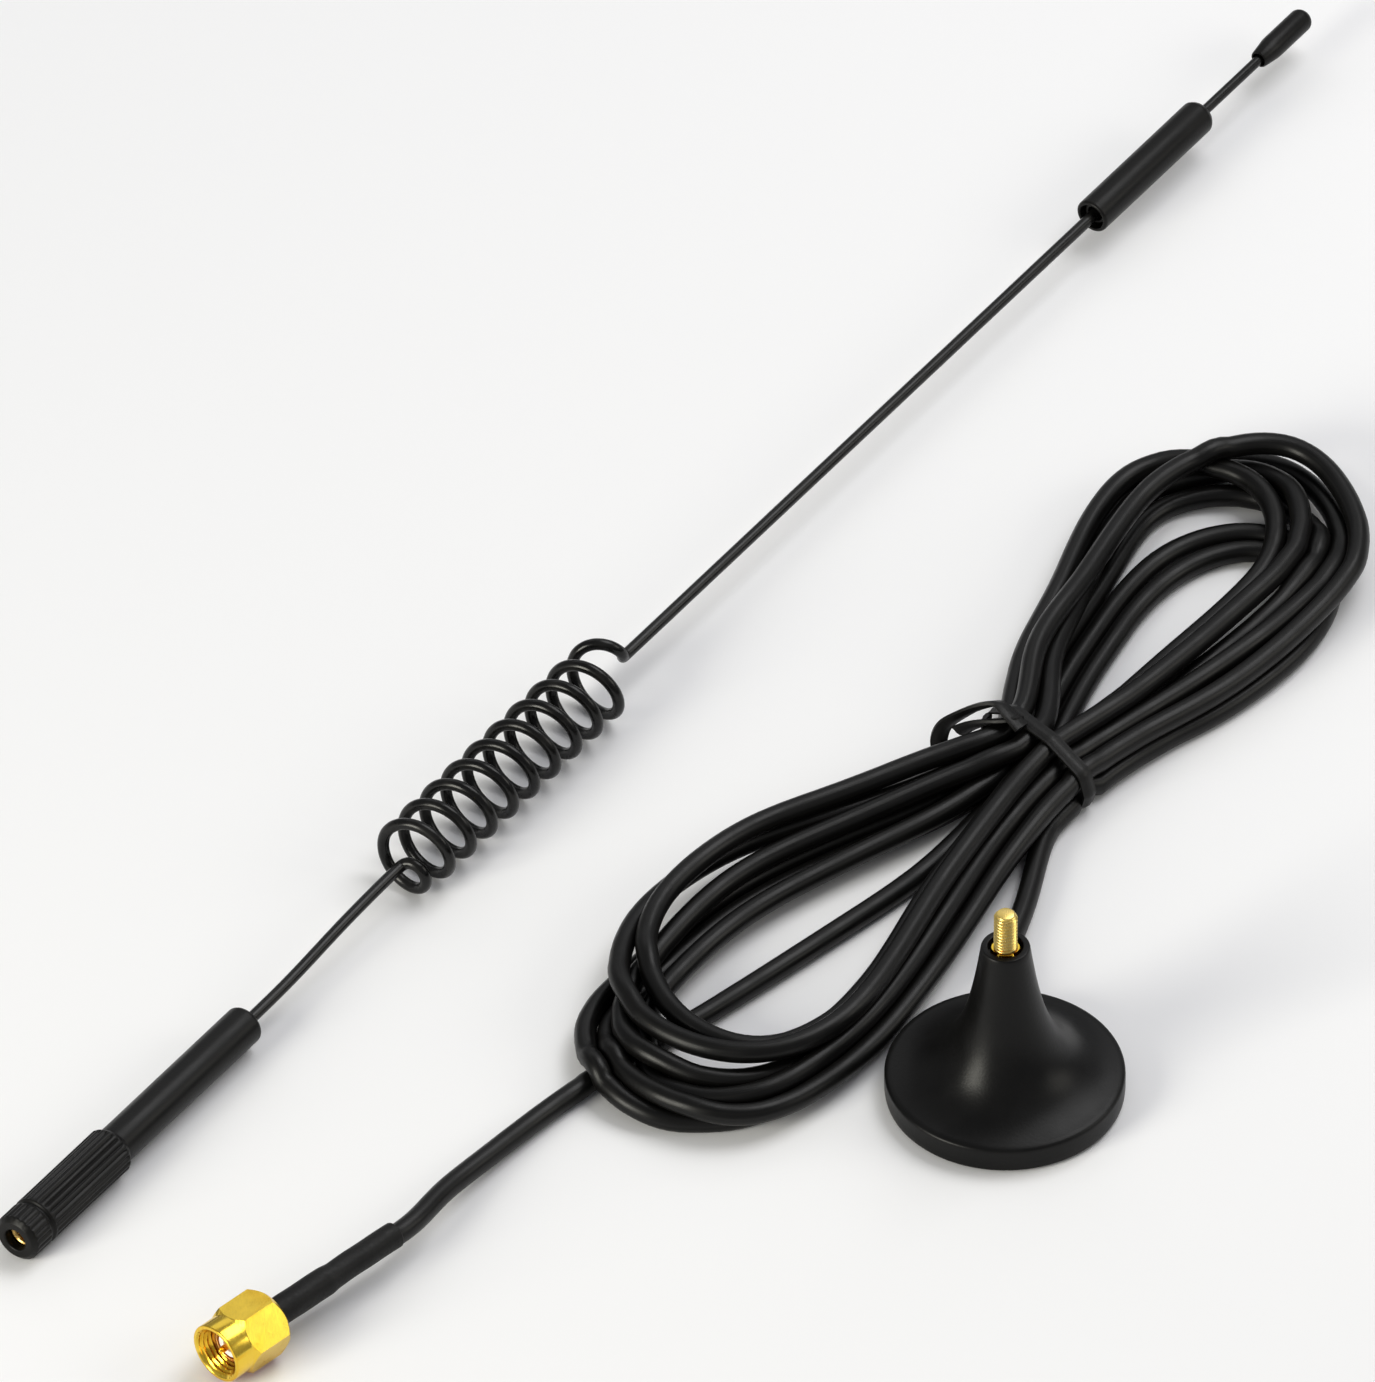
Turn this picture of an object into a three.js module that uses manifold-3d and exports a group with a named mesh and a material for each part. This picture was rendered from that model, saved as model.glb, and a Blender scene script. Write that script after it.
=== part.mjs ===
// Magnetic-mount omnidirectional whip antenna, laid out with its whip unscrewed.
// Units are millimetres and +Z is up. The origin is the centre of the base's underside.
// The base stands at the origin, the tied cable and its connector lie on the ground beside
// it, and the loose whip lies on the ground behind them.
import * as THREE from 'three';
import { mergeVertices } from 'three/addons/utils/BufferGeometryUtils.js';
import Module from 'manifold-3d';

const wasm = await Module();
wasm.setup();

// ---------------------------------------------------------------- driving dimensions
const GAP = 0.3;                 // clearance between pieces that meet
const CABLE_R = 1.4;             // RG174 coaxial cable, 2.8 mm over its jacket
const CABLE_SIDES = 8;

const BASE_R = 15;               // the bell's rim
const RIM_TOP_Z = 3.4;
const CONE_TOP_Z = 24.6;
const CONE_TOP_R = 3.1;
const STUD_R = 1.5;              // M3 thread
const STUD_TOP_Z = 30;
const EXIT_Z = 1.75;             // height of the cable's exit through the rim
const RELIEF_END_Y = 23;         // outer end of the strain relief

const WHIP_FOOT = [-122.5, -31.35];
const WHIP_HEADING = THREE.MathUtils.degToRad(54.8);
const FERRULE_R = 3.25;          // knurled grip
const BARREL_R = 2.6;
const FERRULE_LENGTH = 49;
const WIRE_R = 0.75;
const UPPER_ROD_R = 0.65;
const COIL_R = 4.4;              // to the middle of the wire
const COIL_AXIS_Z = COIL_R + WIRE_R + 0.02;
const COIL_START = 82.3;         // distances along the whip, from its foot
const COIL_FIRST_TURN = 84.4;
const COIL_PITCH = 4.52;
const COIL_FULL_TURNS = 9;
const COIL_END = 129.2;
const COIL_PHASE = THREE.MathUtils.degToRad(123);
const SLEEVE_START = 231.1;
const SLEEVE_END = 255.1;
const SLEEVE_R = 2.3;
const TIP_START = 267.9;
const TIP_END = 278.3;
const TIP_R = 1.55;

const CONNECTOR_FRONT = [-97.4, -53.4];
const CONNECTOR_HEADING = THREE.MathUtils.degToRad(45);
const CONNECTOR_Z = 4.65;        // its hexagon's corners clear the ground as the nut turns
const NUT_LENGTH = 9.2;
const NUT_FLATS = 8;             // SMA, 8 mm across flats
const NUT_BORE_R = 3.2;          // 1/4-36 thread
const NUT_TURN = THREE.MathUtils.degToRad(-10);
const BOOT_START = 10.2;         // distances along the connector, from the nut's front face
const BOOT_STEP = 19.7;
const BOOT_END = 31;
const BOOT_R = 1.9;
const BOOT_TAIL_R = 1.72;

const HANK_HEIGHT = 8;
const TIE_CENTRE = [4.4, 57.6];
const TIE_HEADING = THREE.MathUtils.degToRad(50);
const TIE_WIDTH = 2;             // along the bundle
const TIE_THICKNESS = 0.6;
const BUNDLE_WIDTH = 15.8;       // inside the tie
const BUNDLE_HEIGHT = 7.7;
const BUNDLE_CORNER_R = 2.2;

// ---------------------------------------------------------------- colours
const BLACK_PLASTIC = { color: 0x1b1b1c, roughness: 0.45, metalness: 0 };
const BLACK_COATING = { color: 0x121213, roughness: 0.25, metalness: 0 };
const BLACK_RUBBER = { color: 0x151515, roughness: 0.6, metalness: 0 };
const CABLE_JACKET = { color: 0x101010, roughness: 0.4, metalness: 0 };
const GOLD = { color: 0xe3b53a, roughness: 0.22, metalness: 1 };
const BRASS = { color: 0xb08d45, roughness: 0.35, metalness: 1 };
const STEEL = { color: 0x9a9ca0, roughness: 0.35, metalness: 1 };
const FERRITE = { color: 0x3b3b3e, roughness: 0.6, metalness: 0.2 };
const WHITE_PTFE = { color: 0xf1efe8, roughness: 0.5, metalness: 0 };
const COPPER = { color: 0xb36a3c, roughness: 0.4, metalness: 1 };
const SILICONE = { color: 0xb4583a, roughness: 0.55, metalness: 0 };

// ---------------------------------------------------------------- helpers
const object = new THREE.Group();
const whip = new THREE.Group();
whip.position.set(WHIP_FOOT[0], WHIP_FOOT[1], 0);
whip.rotation.z = WHIP_HEADING;
const connector = new THREE.Group();
connector.position.set(CONNECTOR_FRONT[0], CONNECTOR_FRONT[1], CONNECTOR_Z);
connector.rotation.z = CONNECTOR_HEADING;
const tie = new THREE.Group();
tie.position.set(TIE_CENTRE[0], TIE_CENTRE[1], 0);
tie.rotation.z = TIE_HEADING;
object.add(whip, connector, tie);

function addPiece(parent, name, geometry, finish, position = [0, 0, 0]) {
  const mesh = new THREE.Mesh(geometry, new THREE.MeshStandardMaterial(finish));
  mesh.name = name;
  mesh.position.set(...position);
  parent.add(mesh);
  return mesh;
}

// A body turned about Z from [radius, height] points, walked with the material on the left.
function turned(profile, segments = 32) {
  const points = profile.map(([radius, height]) => new THREE.Vector2(radius, height));
  if (points[0].x > 0) {
    points.push(points[0].clone());
  }
  return new THREE.LatheGeometry(points, segments).rotateX(Math.PI / 2);
}

// The same body turned about X.
function turnedAlongX(profile, segments = 32) {
  return turned(profile, segments).rotateY(Math.PI / 2);
}

// The same body turned about Y.
function turnedAlongY(profile, segments = 24) {
  return turned(profile, segments).rotateX(-Math.PI / 2);
}

function ring(innerR, outerR, start, end) {
  return [[innerR, start], [outerR, start], [outerR, end], [innerR, end]];
}

function rod(radius, start, end) {
  return [[0, start], [radius, start], [radius, end], [0, end]];
}

function polygonShape(radius, sides, turn = 0) {
  const corners = [];
  for (let i = 0; i < sides; i += 1) {
    const angle = turn + (2 * Math.PI * i) / sides;
    corners.push(new THREE.Vector2(radius * Math.cos(angle), radius * Math.sin(angle)));
  }
  return new THREE.Shape(corners);
}

function tube(path, radius, steps, sides = CABLE_SIDES) {
  const section = polygonShape(radius, sides, Math.PI / sides);
  return new THREE.ExtrudeGeometry(section, { steps, extrudePath: path, bevelEnabled: false });
}

function curveThrough(points) {
  return new THREE.CatmullRomCurve3(points.map((p) => new THREE.Vector3(...p)), false, 'centripetal');
}

function toSolid(geometry) {
  const plain = geometry.clone();
  plain.deleteAttribute('normal');
  plain.deleteAttribute('uv');
  const merged = mergeVertices(plain, 1e-4);
  const corners = merged.index.array;
  const kept = [];
  for (let i = 0; i < corners.length; i += 3) {
    const [a, b, c] = [corners[i], corners[i + 1], corners[i + 2]];
    if (a !== b && b !== c && c !== a) {
      kept.push(a, b, c);
    }
  }
  const mesh = new wasm.Mesh({
    numProp: 3,
    vertProperties: new Float32Array(merged.attributes.position.array),
    triVerts: new Uint32Array(kept),
  });
  return new wasm.Manifold(mesh);
}

function toGeometry(solid) {
  const mesh = solid.getMesh();
  const geometry = new THREE.BufferGeometry();
  geometry.setAttribute('position', new THREE.BufferAttribute(mesh.vertProperties, 3));
  geometry.setIndex(new THREE.BufferAttribute(mesh.triVerts, 1));
  return geometry;
}

// ---------------------------------------------------------------- magnetic base
function bellCurve(top, upperPull, lowerPull, foot) {
  const ends = [foot, lowerPull, upperPull, top].map(([r, z]) => new THREE.Vector2(r, z));
  return new THREE.CubicBezierCurve(...ends);
}

function baseShell() {
  const outside = bellCurve([CONE_TOP_R, CONE_TOP_Z - 0.25], [4.6, 13], [6.2, 5], [14.6, RIM_TOP_Z + 0.4]);
  const inside = bellCurve([1.85, 19.3], [3.1, 12], [5, 4.2], [12.9, 2.7]);
  const outer = outside.getPoints(14).map((p) => [p.x, p.y]);
  const inner = inside.getPoints(8).map((p) => [p.x, p.y]).reverse();
  const rimR = 13.6;
  const profile = [
    [rimR, 0.25], [BASE_R - 0.15, 0.25], [BASE_R, 0.45], [BASE_R, RIM_TOP_Z],
    [BASE_R - 0.15, RIM_TOP_Z + 0.2], ...outer,
    [CONE_TOP_R - 0.25, CONE_TOP_Z], [2.2, CONE_TOP_Z], [2.2, CONE_TOP_Z - 1.4], [1.85, CONE_TOP_Z - 1.4],
    ...inner, [rimR, 2.3],
  ];
  const notch = turnedAlongY(rod(1.55, 12.4, 17), 16).translate(0, 0, EXIT_Z);
  return toGeometry(toSolid(turned(profile, 48)).subtract(toSolid(notch)));
}

function buildBase() {
  addPiece(object, 'base_shell', baseShell(), BLACK_PLASTIC);
  addPiece(object, 'bottom_film', turned(rod(13.3, 0, 0.4), 48), BLACK_RUBBER);
  addPiece(object, 'ring_magnet', turned(ring(3, 9.4, 0.7, 2.9), 40), FERRITE);
  addPiece(object, 'ground_plate', turned(ring(1.2, 7.4, 3.2, 3.8), 32), STEEL);
  const neckR = 1.1;
  const stud = [
    [0, 16.2], [0.6, 16.2], [0.6, 18.4], [STUD_R, 18.4], [STUD_R, 22.9], [neckR, 23.1],
    [neckR, 24.35], [STUD_R, 24.5], [STUD_R, STUD_TOP_Z - 0.5], [1.15, STUD_TOP_Z], [0, STUD_TOP_Z],
  ];
  addPiece(object, 'stud', turned(stud, 24), GOLD);
  const collarShape = polygonShape(1.9, 6);
  collarShape.holes.push(polygonShape(neckR + GAP, 18));
  const collar = new THREE.ExtrudeGeometry(collarShape, { depth: 0.7, bevelEnabled: false });
  addPiece(object, 'stud_collar', collar, GOLD, [0, 0, CONE_TOP_Z - 0.9]);

  const reliefStart = 12.9;
  const relief = [
    [0, reliefStart], [1.3, reliefStart], [1.3, BASE_R + GAP], [EXIT_Z, BASE_R + GAP],
    [EXIT_Z, 17], [CABLE_R + 0.1, RELIEF_END_Y], [0, RELIEF_END_Y],
  ];
  addPiece(object, 'cable_strain_relief', turnedAlongY(relief), BLACK_RUBBER, [0, 0, EXIT_Z]);
  const feed = curveThrough([
    [0, 12.6, 1.85], [0, 11.4, 2.1], [0, 10.2, 3.05], [0, 9.2, 3.6], [0, 8, 4.35],
    [0, 5.8, 5.8], [0, 3.2, 9], [0, 1.5, 13], [0, 0.3, 15.5],
  ]);
  addPiece(object, 'feed_wire', tube(feed, 0.3, 20), COPPER);
  const braid = curveThrough([
    [1.1, 12.6, 1.8], [1.5, 11.2, 2.2], [2, 10, 3], [2.6, 8.8, 3.6], [3, 7.6, 4.15], [3.2, 6.2, 4.2],
  ]);
  addPiece(object, 'ground_braid', tube(braid, 0.3, 12), COPPER);
}

// ---------------------------------------------------------------- whip
// The coil winds right-handed about the whip's axis. Each end spirals in to the axis.
function coilPoint(turns) {
  const firstTurn = 0.75;
  const lastTurn = firstTurn + COIL_FULL_TURNS;
  let radius = COIL_R * Math.sin((Math.PI / 2) * Math.min(1, turns / 0.4));
  let along = COIL_START + ((COIL_FIRST_TURN - COIL_START) * turns) / firstTurn;
  if (turns > firstTurn) {
    along = COIL_FIRST_TURN + COIL_PITCH * (turns - firstTurn);
  }
  if (turns > lastTurn) {
    const part = (turns - lastTurn) / 0.25;
    const windingEnd = COIL_FIRST_TURN + COIL_PITCH * COIL_FULL_TURNS;
    radius = COIL_R * Math.cos((Math.PI / 2) * part) ** 0.7;
    along = windingEnd + (COIL_END - windingEnd) * part;
  }
  const angle = COIL_PHASE + 2 * Math.PI * turns;
  return [along, radius * Math.cos(angle), COIL_AXIS_Z + radius * Math.sin(angle)];
}

function whipWire() {
  const lower = curveThrough([
    [11.4, 0, FERRULE_R], [30, 0, FERRULE_R], [50, 0, FERRULE_R], [58, 0, FERRULE_R + 0.25],
    [70, 0, COIL_AXIS_Z - 0.5], [78, 0, COIL_AXIS_Z - 0.05], [COIL_START, 0, COIL_AXIS_Z],
  ]);
  const turnsInAll = 10;
  const pointsPerTurn = 20;
  const points = [];
  for (let i = 0; i <= turnsInAll * pointsPerTurn; i += 1) {
    points.push(coilPoint(i / pointsPerTurn));
  }
  points.push([COIL_END + 1.2, 0, COIL_AXIS_Z]);
  const rodPath = new THREE.LineCurve3(
    new THREE.Vector3(COIL_END, 0, COIL_AXIS_Z),
    new THREE.Vector3(243.6, 0, COIL_AXIS_Z),
  );
  const coil = toSolid(tube(curveThrough(points), WIRE_R, 176));
  const ends = toSolid(tube(lower, WIRE_R, 10)).add(toSolid(tube(rodPath, WIRE_R, 1)));
  return toGeometry(coil.add(ends));
}

function buildWhip() {
  const ferrule = [
    [1.7, 0], [2.85, 0], [FERRULE_R, 0.4], [FERRULE_R, 3.5], [2.85, 3.7], [2.85, 4.2],
    [FERRULE_R, 4.4], [FERRULE_R, 20], [BARREL_R, 20.8], [BARREL_R, FERRULE_LENGTH - 0.5],
    [2.2, FERRULE_LENGTH], [1.05, FERRULE_LENGTH], [1.05, 15.2], [2.4, 15.2], [2.4, 1.2], [1.7, 1.2],
  ];
  addPiece(whip, 'whip_ferrule', turnedAlongX(ferrule), BLACK_PLASTIC, [0, 0, FERRULE_R]);
  const insert = [
    [0, 9.5], [1.25, 9.5], [1.25, 1.9], [1.5, 1.5], [2.1, 1.5], [2.1, 14.9],
    [1.05, 14.9], [1.05, 11], [0, 11],
  ];
  addPiece(whip, 'thread_insert', turnedAlongX(insert, 24), BRASS, [0, 0, FERRULE_R]);
  addPiece(whip, 'whip_wire', whipWire(), BLACK_COATING);

  const wall = 1.75;
  const sleeve = [
    [wall, SLEEVE_START], [2.1, SLEEVE_START], [SLEEVE_R, SLEEVE_START + 0.2], [SLEEVE_R, SLEEVE_END - 0.6],
    [1.9, SLEEVE_END], [0.95, SLEEVE_END], [0.95, SLEEVE_END - 1.5], [wall, SLEEVE_END - 1.5],
  ];
  addPiece(whip, 'joint_sleeve', turnedAlongX(sleeve), BLACK_PLASTIC, [0, 0, COIL_AXIS_Z]);
  const bushing = ring(1.05, 1.45, SLEEVE_START + 0.8, SLEEVE_START + 5.4);
  addPiece(whip, 'sleeve_bushing', turnedAlongX(bushing, 24), BLACK_PLASTIC, [0, 0, COIL_AXIS_Z]);
  const crimp = [
    [0, 244], [1.05, 244], [1.05, 237], [1.45, 237], [1.45, 252.5], [0.95, 252.5], [0.95, 245], [0, 245],
  ];
  addPiece(whip, 'rod_crimp', turnedAlongX(crimp, 24), BRASS, [0, 0, COIL_AXIS_Z]);
  const upper = rod(UPPER_ROD_R, 245.4, 273.2);
  addPiece(whip, 'upper_rod', turnedAlongX(upper, 16), BLACK_COATING, [0, 0, COIL_AXIS_Z]);
  const tip = [
    [0, 273.6], [0.95, 273.6], [0.95, TIP_START], [1.15, TIP_START], [TIP_R, 270.6], [TIP_R, TIP_END - 1.5],
    [1.4, TIP_END - 0.8], [0.95, TIP_END - 0.25], [0, TIP_END],
  ];
  addPiece(whip, 'tip_cap', turnedAlongX(tip, 24), BLACK_PLASTIC, [0, 0, COIL_AXIS_Z]);
}

// ---------------------------------------------------------------- connector
// A hexagon with its corners turned off, a round nose, a threaded bore and a rear lip.
function couplingNut() {
  const noseR = 3.95;
  const noseEnd = 2.7;
  const cornerR = NUT_FLATS / Math.sqrt(3);
  const chamfer = [
    [0, noseEnd], [noseR, noseEnd], [cornerR, noseEnd + 0.8], [cornerR, NUT_LENGTH - 0.8],
    [noseR, NUT_LENGTH], [0, NUT_LENGTH],
  ];
  const bore = [
    [0, -1], [NUT_BORE_R + 0.2, -1], [NUT_BORE_R + 0.2, 0.2], [NUT_BORE_R, 0.5], [NUT_BORE_R, 7], [3.45, 7],
    [3.45, 8.1], [2.5, 8.1], [2.5, NUT_LENGTH + 1], [0, NUT_LENGTH + 1],
  ];
  const flats = polygonShape(cornerR, 6, NUT_TURN);
  const prism = new THREE.ExtrudeGeometry(flats, { depth: NUT_LENGTH, bevelEnabled: false });
  const hexagon = toSolid(prism).intersect(toSolid(turned(chamfer, 36)));
  const nose = toSolid(turned([[0, 0], [noseR - 0.2, 0], [noseR, 0.2], [noseR, 4], [0, 4]], 36));
  const solid = hexagon.add(nose).subtract(toSolid(turned(bore, 36)));
  return toGeometry(solid).rotateY(Math.PI / 2).rotateX(Math.PI / 2);
}

function snapRing() {
  const opening = 0.5;
  const shape = new THREE.Shape();
  shape.absarc(0, 0, 2.95, opening / 2, 2 * Math.PI - opening / 2, false);
  shape.absarc(0, 0, 2.5, 2 * Math.PI - opening / 2, opening / 2, true);
  const options = { depth: 0.55, bevelEnabled: false, curveSegments: 12 };
  return new THREE.ExtrudeGeometry(shape, options).rotateY(Math.PI / 2);
}

function buildConnector() {
  addPiece(connector, 'coupling_nut', couplingNut(), GOLD);
  const barrel = [
    [1.95, 2.1], [2.35, 2.1], [2.35, 5.6], [2.7, 5.6], [2.7, 7.1], [2.15, 7.1], [2.15, 9.9],
    [0.95, 9.9], [0.95, 7.6], [1.95, 7.6],
  ];
  addPiece(connector, 'connector_body', turnedAlongX(barrel), GOLD);
  addPiece(connector, 'snap_ring', snapRing(), STEEL, [7.35, 0, 0]);
  addPiece(connector, 'gasket', turnedAlongX(ring(2.6, 2.95, 4.6, 5.4), 24), SILICONE);
  addPiece(connector, 'dielectric', turnedAlongX(ring(0.9, 1.7, 2.2, 7.3), 24), WHITE_PTFE);
  const pin = [[0, 0.6], [0.2, 0.7], [0.45, 1.2], [0.45, 2.2], [0.62, 2.3], [0.62, 9], [0, 9]];
  addPiece(connector, 'centre_pin', turnedAlongX(pin, 16), GOLD);
  addPiece(connector, 'crimp_ferrule', turnedAlongX(ring(0.9, 1.25, 10.4, 19.2), 24), GOLD);
  const boot = [
    [1.55, BOOT_START], [BOOT_R, BOOT_START], [BOOT_R, BOOT_STEP - 0.3], [BOOT_TAIL_R, BOOT_STEP + 0.3],
    [BOOT_TAIL_R, BOOT_END], [0, BOOT_END], [0, BOOT_STEP], [1.55, BOOT_STEP],
  ];
  const startAtAxis = [...boot.slice(6), ...boot.slice(0, 6)];
  addPiece(connector, 'heat_shrink_boot', turnedAlongX(startAtAxis, 24), BLACK_RUBBER);
}

// ---------------------------------------------------------------- cable, hank and tie
// A bar's section with round corners, inset is taken off every side.
function barShape(inset) {
  const radius = BUNDLE_CORNER_R - inset;
  const x = BUNDLE_WIDTH / 2 - BUNDLE_CORNER_R;
  const y = BUNDLE_HEIGHT / 2 - BUNDLE_CORNER_R;
  const shape = new THREE.Shape();
  [[x, y], [-x, y], [-x, -y], [x, -y]].forEach(([cornerX, cornerY], i) => {
    shape.absarc(cornerX, cornerY, radius, (i * Math.PI) / 2, ((i + 1) * Math.PI) / 2, false);
  });
  return shape;
}

// A block across the bundle, centred on the tie: its section stands in local YZ.
function bundleBlock(shape, length, centreZ) {
  const options = { depth: length, bevelEnabled: false, curveSegments: 4 };
  const block = new THREE.ExtrudeGeometry(shape, options);
  return block.rotateX(Math.PI / 2).rotateZ(Math.PI / 2).translate(-length / 2, 0, centreZ);
}

function hankSolid() {
  const outline = [
    [-54.6, 6], [-53.9, 12.5], [-51.5, 18], [-48.9, 22.4], [-45.9, 31], [-39.9, 38.6], [-31, 46.2],
    [-22, 52.2], [-12.9, 56.5], [-5.3, 59.3], [-1.2, 62.3], [0.1, 67.8], [0.5, 76.6], [1.7, 84.6],
    [3.9, 94.9], [6.8, 104.7], [13.3, 113.7], [24.1, 117.9], [35.5, 116.3], [43.5, 108.3], [45.7, 98.3],
    [43.6, 90], [39.7, 84.4], [34.8, 76.4], [29.3, 68.5], [23.1, 62.9], [17, 57.4], [11, 52.1],
    [6.8, 45.2], [4, 40.2], [0.9, 37.6], [-1.2, 33], [-4.5, 24], [-9.2, 14], [-13.1, 7.2], [-17, -1],
    [-20.6, -4.8], [-25.2, -8.4], [-34, -10.6], [-43.3, -8.6], [-48.7, -4.9], [-52.4, 0.2],
  ];
  const shape = new THREE.Shape(outline.map(([x, y]) => new THREE.Vector2(x, y)));
  const block = new THREE.ExtrudeGeometry(shape, { depth: HANK_HEIGHT, bevelEnabled: false });
  const grooveLength = TIE_WIDTH + 2 * GAP;
  const middle = TIE_THICKNESS + BUNDLE_HEIGHT / 2;
  const groove = new THREE.BoxGeometry(grooveLength, 2 * BUNDLE_WIDTH, 4 * HANK_HEIGHT);
  const neck = bundleBlock(barShape(GAP), grooveLength + 2, middle);
  const place = (part) => toSolid(part.rotateZ(TIE_HEADING).translate(TIE_CENTRE[0], TIE_CENTRE[1], 0));
  const baseClearance = toSolid(turned(rod(BASE_R + GAP, -1, HANK_HEIGHT + 1), 48));
  const solid = toSolid(block).subtract(place(groove)).add(place(neck)).subtract(baseClearance);
  return toGeometry(solid);
}

// A flat twist tie: one loop round the bundle, and its twisted ends lying out beside it.
function twistTie() {
  const loop = barShape(-TIE_THICKNESS);
  loop.holes.push(barShape(0));
  const middle = TIE_THICKNESS + BUNDLE_HEIGHT / 2;
  const side = BUNDLE_WIDTH / 2 + TIE_THICKNESS;
  const ends = curveThrough([
    [0, side - 0.4, middle + 1.5], [-0.8, side + 2.2, middle + 1], [-2.4, side + 4.8, middle - 1],
    [-4, side + 6.6, 1.2],
  ]);
  const band = toSolid(bundleBlock(loop, TIE_WIDTH, middle));
  return toGeometry(band.add(toSolid(tube(ends, 0.8, 8, 8))));
}

function connectorPoint(along, height = CONNECTOR_Z) {
  const x = CONNECTOR_FRONT[0] + along * Math.cos(CONNECTOR_HEADING);
  const y = CONNECTOR_FRONT[1] + along * Math.sin(CONNECTOR_HEADING);
  return [x, y, height];
}

function buildCable() {
  const leadFromBase = [
    [0, RELIEF_END_Y + GAP, EXIT_Z], [0.6, 26, 1.55], [1.6, 29.5, CABLE_R], [2.4, 33.2, CABLE_R],
    [3.1, 37.4, CABLE_R],
  ];
  addPiece(object, 'cable_lead_base', tube(curveThrough(leadFromBase), CABLE_R, 4), CABLE_JACKET);
  addPiece(object, 'cable_hank', hankSolid(), CABLE_JACKET);
  const leadToConnector = [
    [-53.1, -1.5, CABLE_R], [-58.5, -7.4, CABLE_R], [-62, -11.6, CABLE_R], [-66, -16.8, 1.9],
    [-70, -22.4, 3.2], connectorPoint(BOOT_END + 3, 4.4), connectorPoint(BOOT_END + GAP),
  ];
  addPiece(object, 'cable_lead_connector', tube(curveThrough(leadToConnector), CABLE_R, 10), CABLE_JACKET);
  addPiece(tie, 'twist_tie', twistTie(), BLACK_RUBBER);
}

buildBase();
buildWhip();
buildConnector();
buildCable();

export default object;
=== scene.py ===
# The looks of a magnetic-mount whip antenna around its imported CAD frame.
# Lengths below are in millimetres, in the CAD's axes; MM turns them into metres.
import math

import bmesh
import bpy
import numpy as np
from mathutils import Matrix, Vector


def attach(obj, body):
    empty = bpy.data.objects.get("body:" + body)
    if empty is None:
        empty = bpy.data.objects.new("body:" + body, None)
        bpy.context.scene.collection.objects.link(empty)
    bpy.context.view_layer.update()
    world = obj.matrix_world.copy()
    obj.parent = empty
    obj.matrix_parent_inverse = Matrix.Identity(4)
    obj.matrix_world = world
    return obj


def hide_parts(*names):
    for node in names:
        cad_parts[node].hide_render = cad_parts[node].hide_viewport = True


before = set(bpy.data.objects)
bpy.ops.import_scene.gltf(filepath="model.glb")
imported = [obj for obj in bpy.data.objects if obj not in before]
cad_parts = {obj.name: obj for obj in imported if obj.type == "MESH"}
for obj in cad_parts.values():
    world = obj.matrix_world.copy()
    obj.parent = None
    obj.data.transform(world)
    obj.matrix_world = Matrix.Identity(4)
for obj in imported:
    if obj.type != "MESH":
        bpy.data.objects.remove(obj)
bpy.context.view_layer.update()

MM = 0.001

# ------ sizes, as in the CAD
CABLE_D = 2.8
CABLE_R = CABLE_D / 2
BASE_R = 15
RIM_TOP_Z = 3.4
CONE_TOP_Z = 24.6
CONE_TOP_R = 3.1
STUD_R = 1.5
STUD_TOP_Z = 30
M3_PITCH = 0.5
EXIT_Z = 1.75
RELIEF_END = 23

WHIP_FOOT = (-122.5, -31.35)
WHIP_HEADING = math.radians(54.8)
FERRULE_R = 3.25
BARREL_R = 2.6
FERRULE_LENGTH = 49
WIRE_R = 0.75
COIL_R = 4.4
COIL_AXIS_Z = COIL_R + WIRE_R + 0.02
COIL_START = 82.3
COIL_FIRST_TURN = 84.4
COIL_PITCH = 4.52
COIL_FULL_TURNS = 9
COIL_END = 129.2
COIL_PHASE = math.radians(123)
SLEEVE_START = 231.1
SLEEVE_END = 255.1
TIP_START = 267.9
TIP_END = 278.3

PLUG_FRONT = (-97.4, -53.4)
PLUG_HEADING = math.radians(45)
PLUG_Z = 4.65
NUT_LENGTH = 9.2
NUT_FLATS = 8
NUT_BORE_R = 3.2
NUT_TURN = math.radians(-10)
BOOT_START = 10.2
BOOT_STEP = 19.7
BOOT_END = 31

TIE_CENTRE = np.array([4.4, 57.6])
TIE_HEADING = math.radians(50)
ALONG_TIE = np.array([math.cos(TIE_HEADING), math.sin(TIE_HEADING)])
ACROSS_TIE = np.array([ALONG_TIE[1], -ALONG_TIE[0]])
TIE_THICKNESS = 0.6
TIE_WIDTH = 2.1


# ------ camera, floor and light
def look_from(obj, target, azimuth, elevation, distance):
    """Puts obj at a distance from the target and points it there. Azimuth 0 is from the -Y side."""
    a, e = math.radians(azimuth), math.radians(elevation)
    back = Matrix.Rotation(a, 3, "Z") @ Matrix.Rotation(math.pi / 2 - e, 3, "X")
    obj.location = Vector(target) + back @ Vector((0, 0, distance))
    obj.rotation_euler = back.to_euler()


def add_camera():
    frame_height = 0.173
    distance = 7
    data = bpy.data.cameras.new("camera")
    data.sensor_width = 8
    data.lens = data.sensor_width * distance / frame_height
    data.clip_start, data.clip_end = 0.1, 100
    camera = bpy.data.objects.new("camera", data)
    bpy.context.collection.objects.link(camera)
    look_from(camera, (-0.0398, 0.0739, 0), 0.3, 42.2, distance)
    bpy.context.scene.camera = camera


LIGHT_DISTANCE = 0.9


def add_light(name, azimuth, elevation, size, power, color=(1, 1, 1)):
    data = bpy.data.lights.new(name, "AREA")
    data.shape = "RECTANGLE"
    data.size, data.size_y = size
    data.energy = power
    data.color = color
    lamp = bpy.data.objects.new(name, data)
    bpy.context.collection.objects.link(lamp)
    look_from(lamp, (-0.03, 0.05, 0), azimuth, elevation, LIGHT_DISTANCE)


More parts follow.
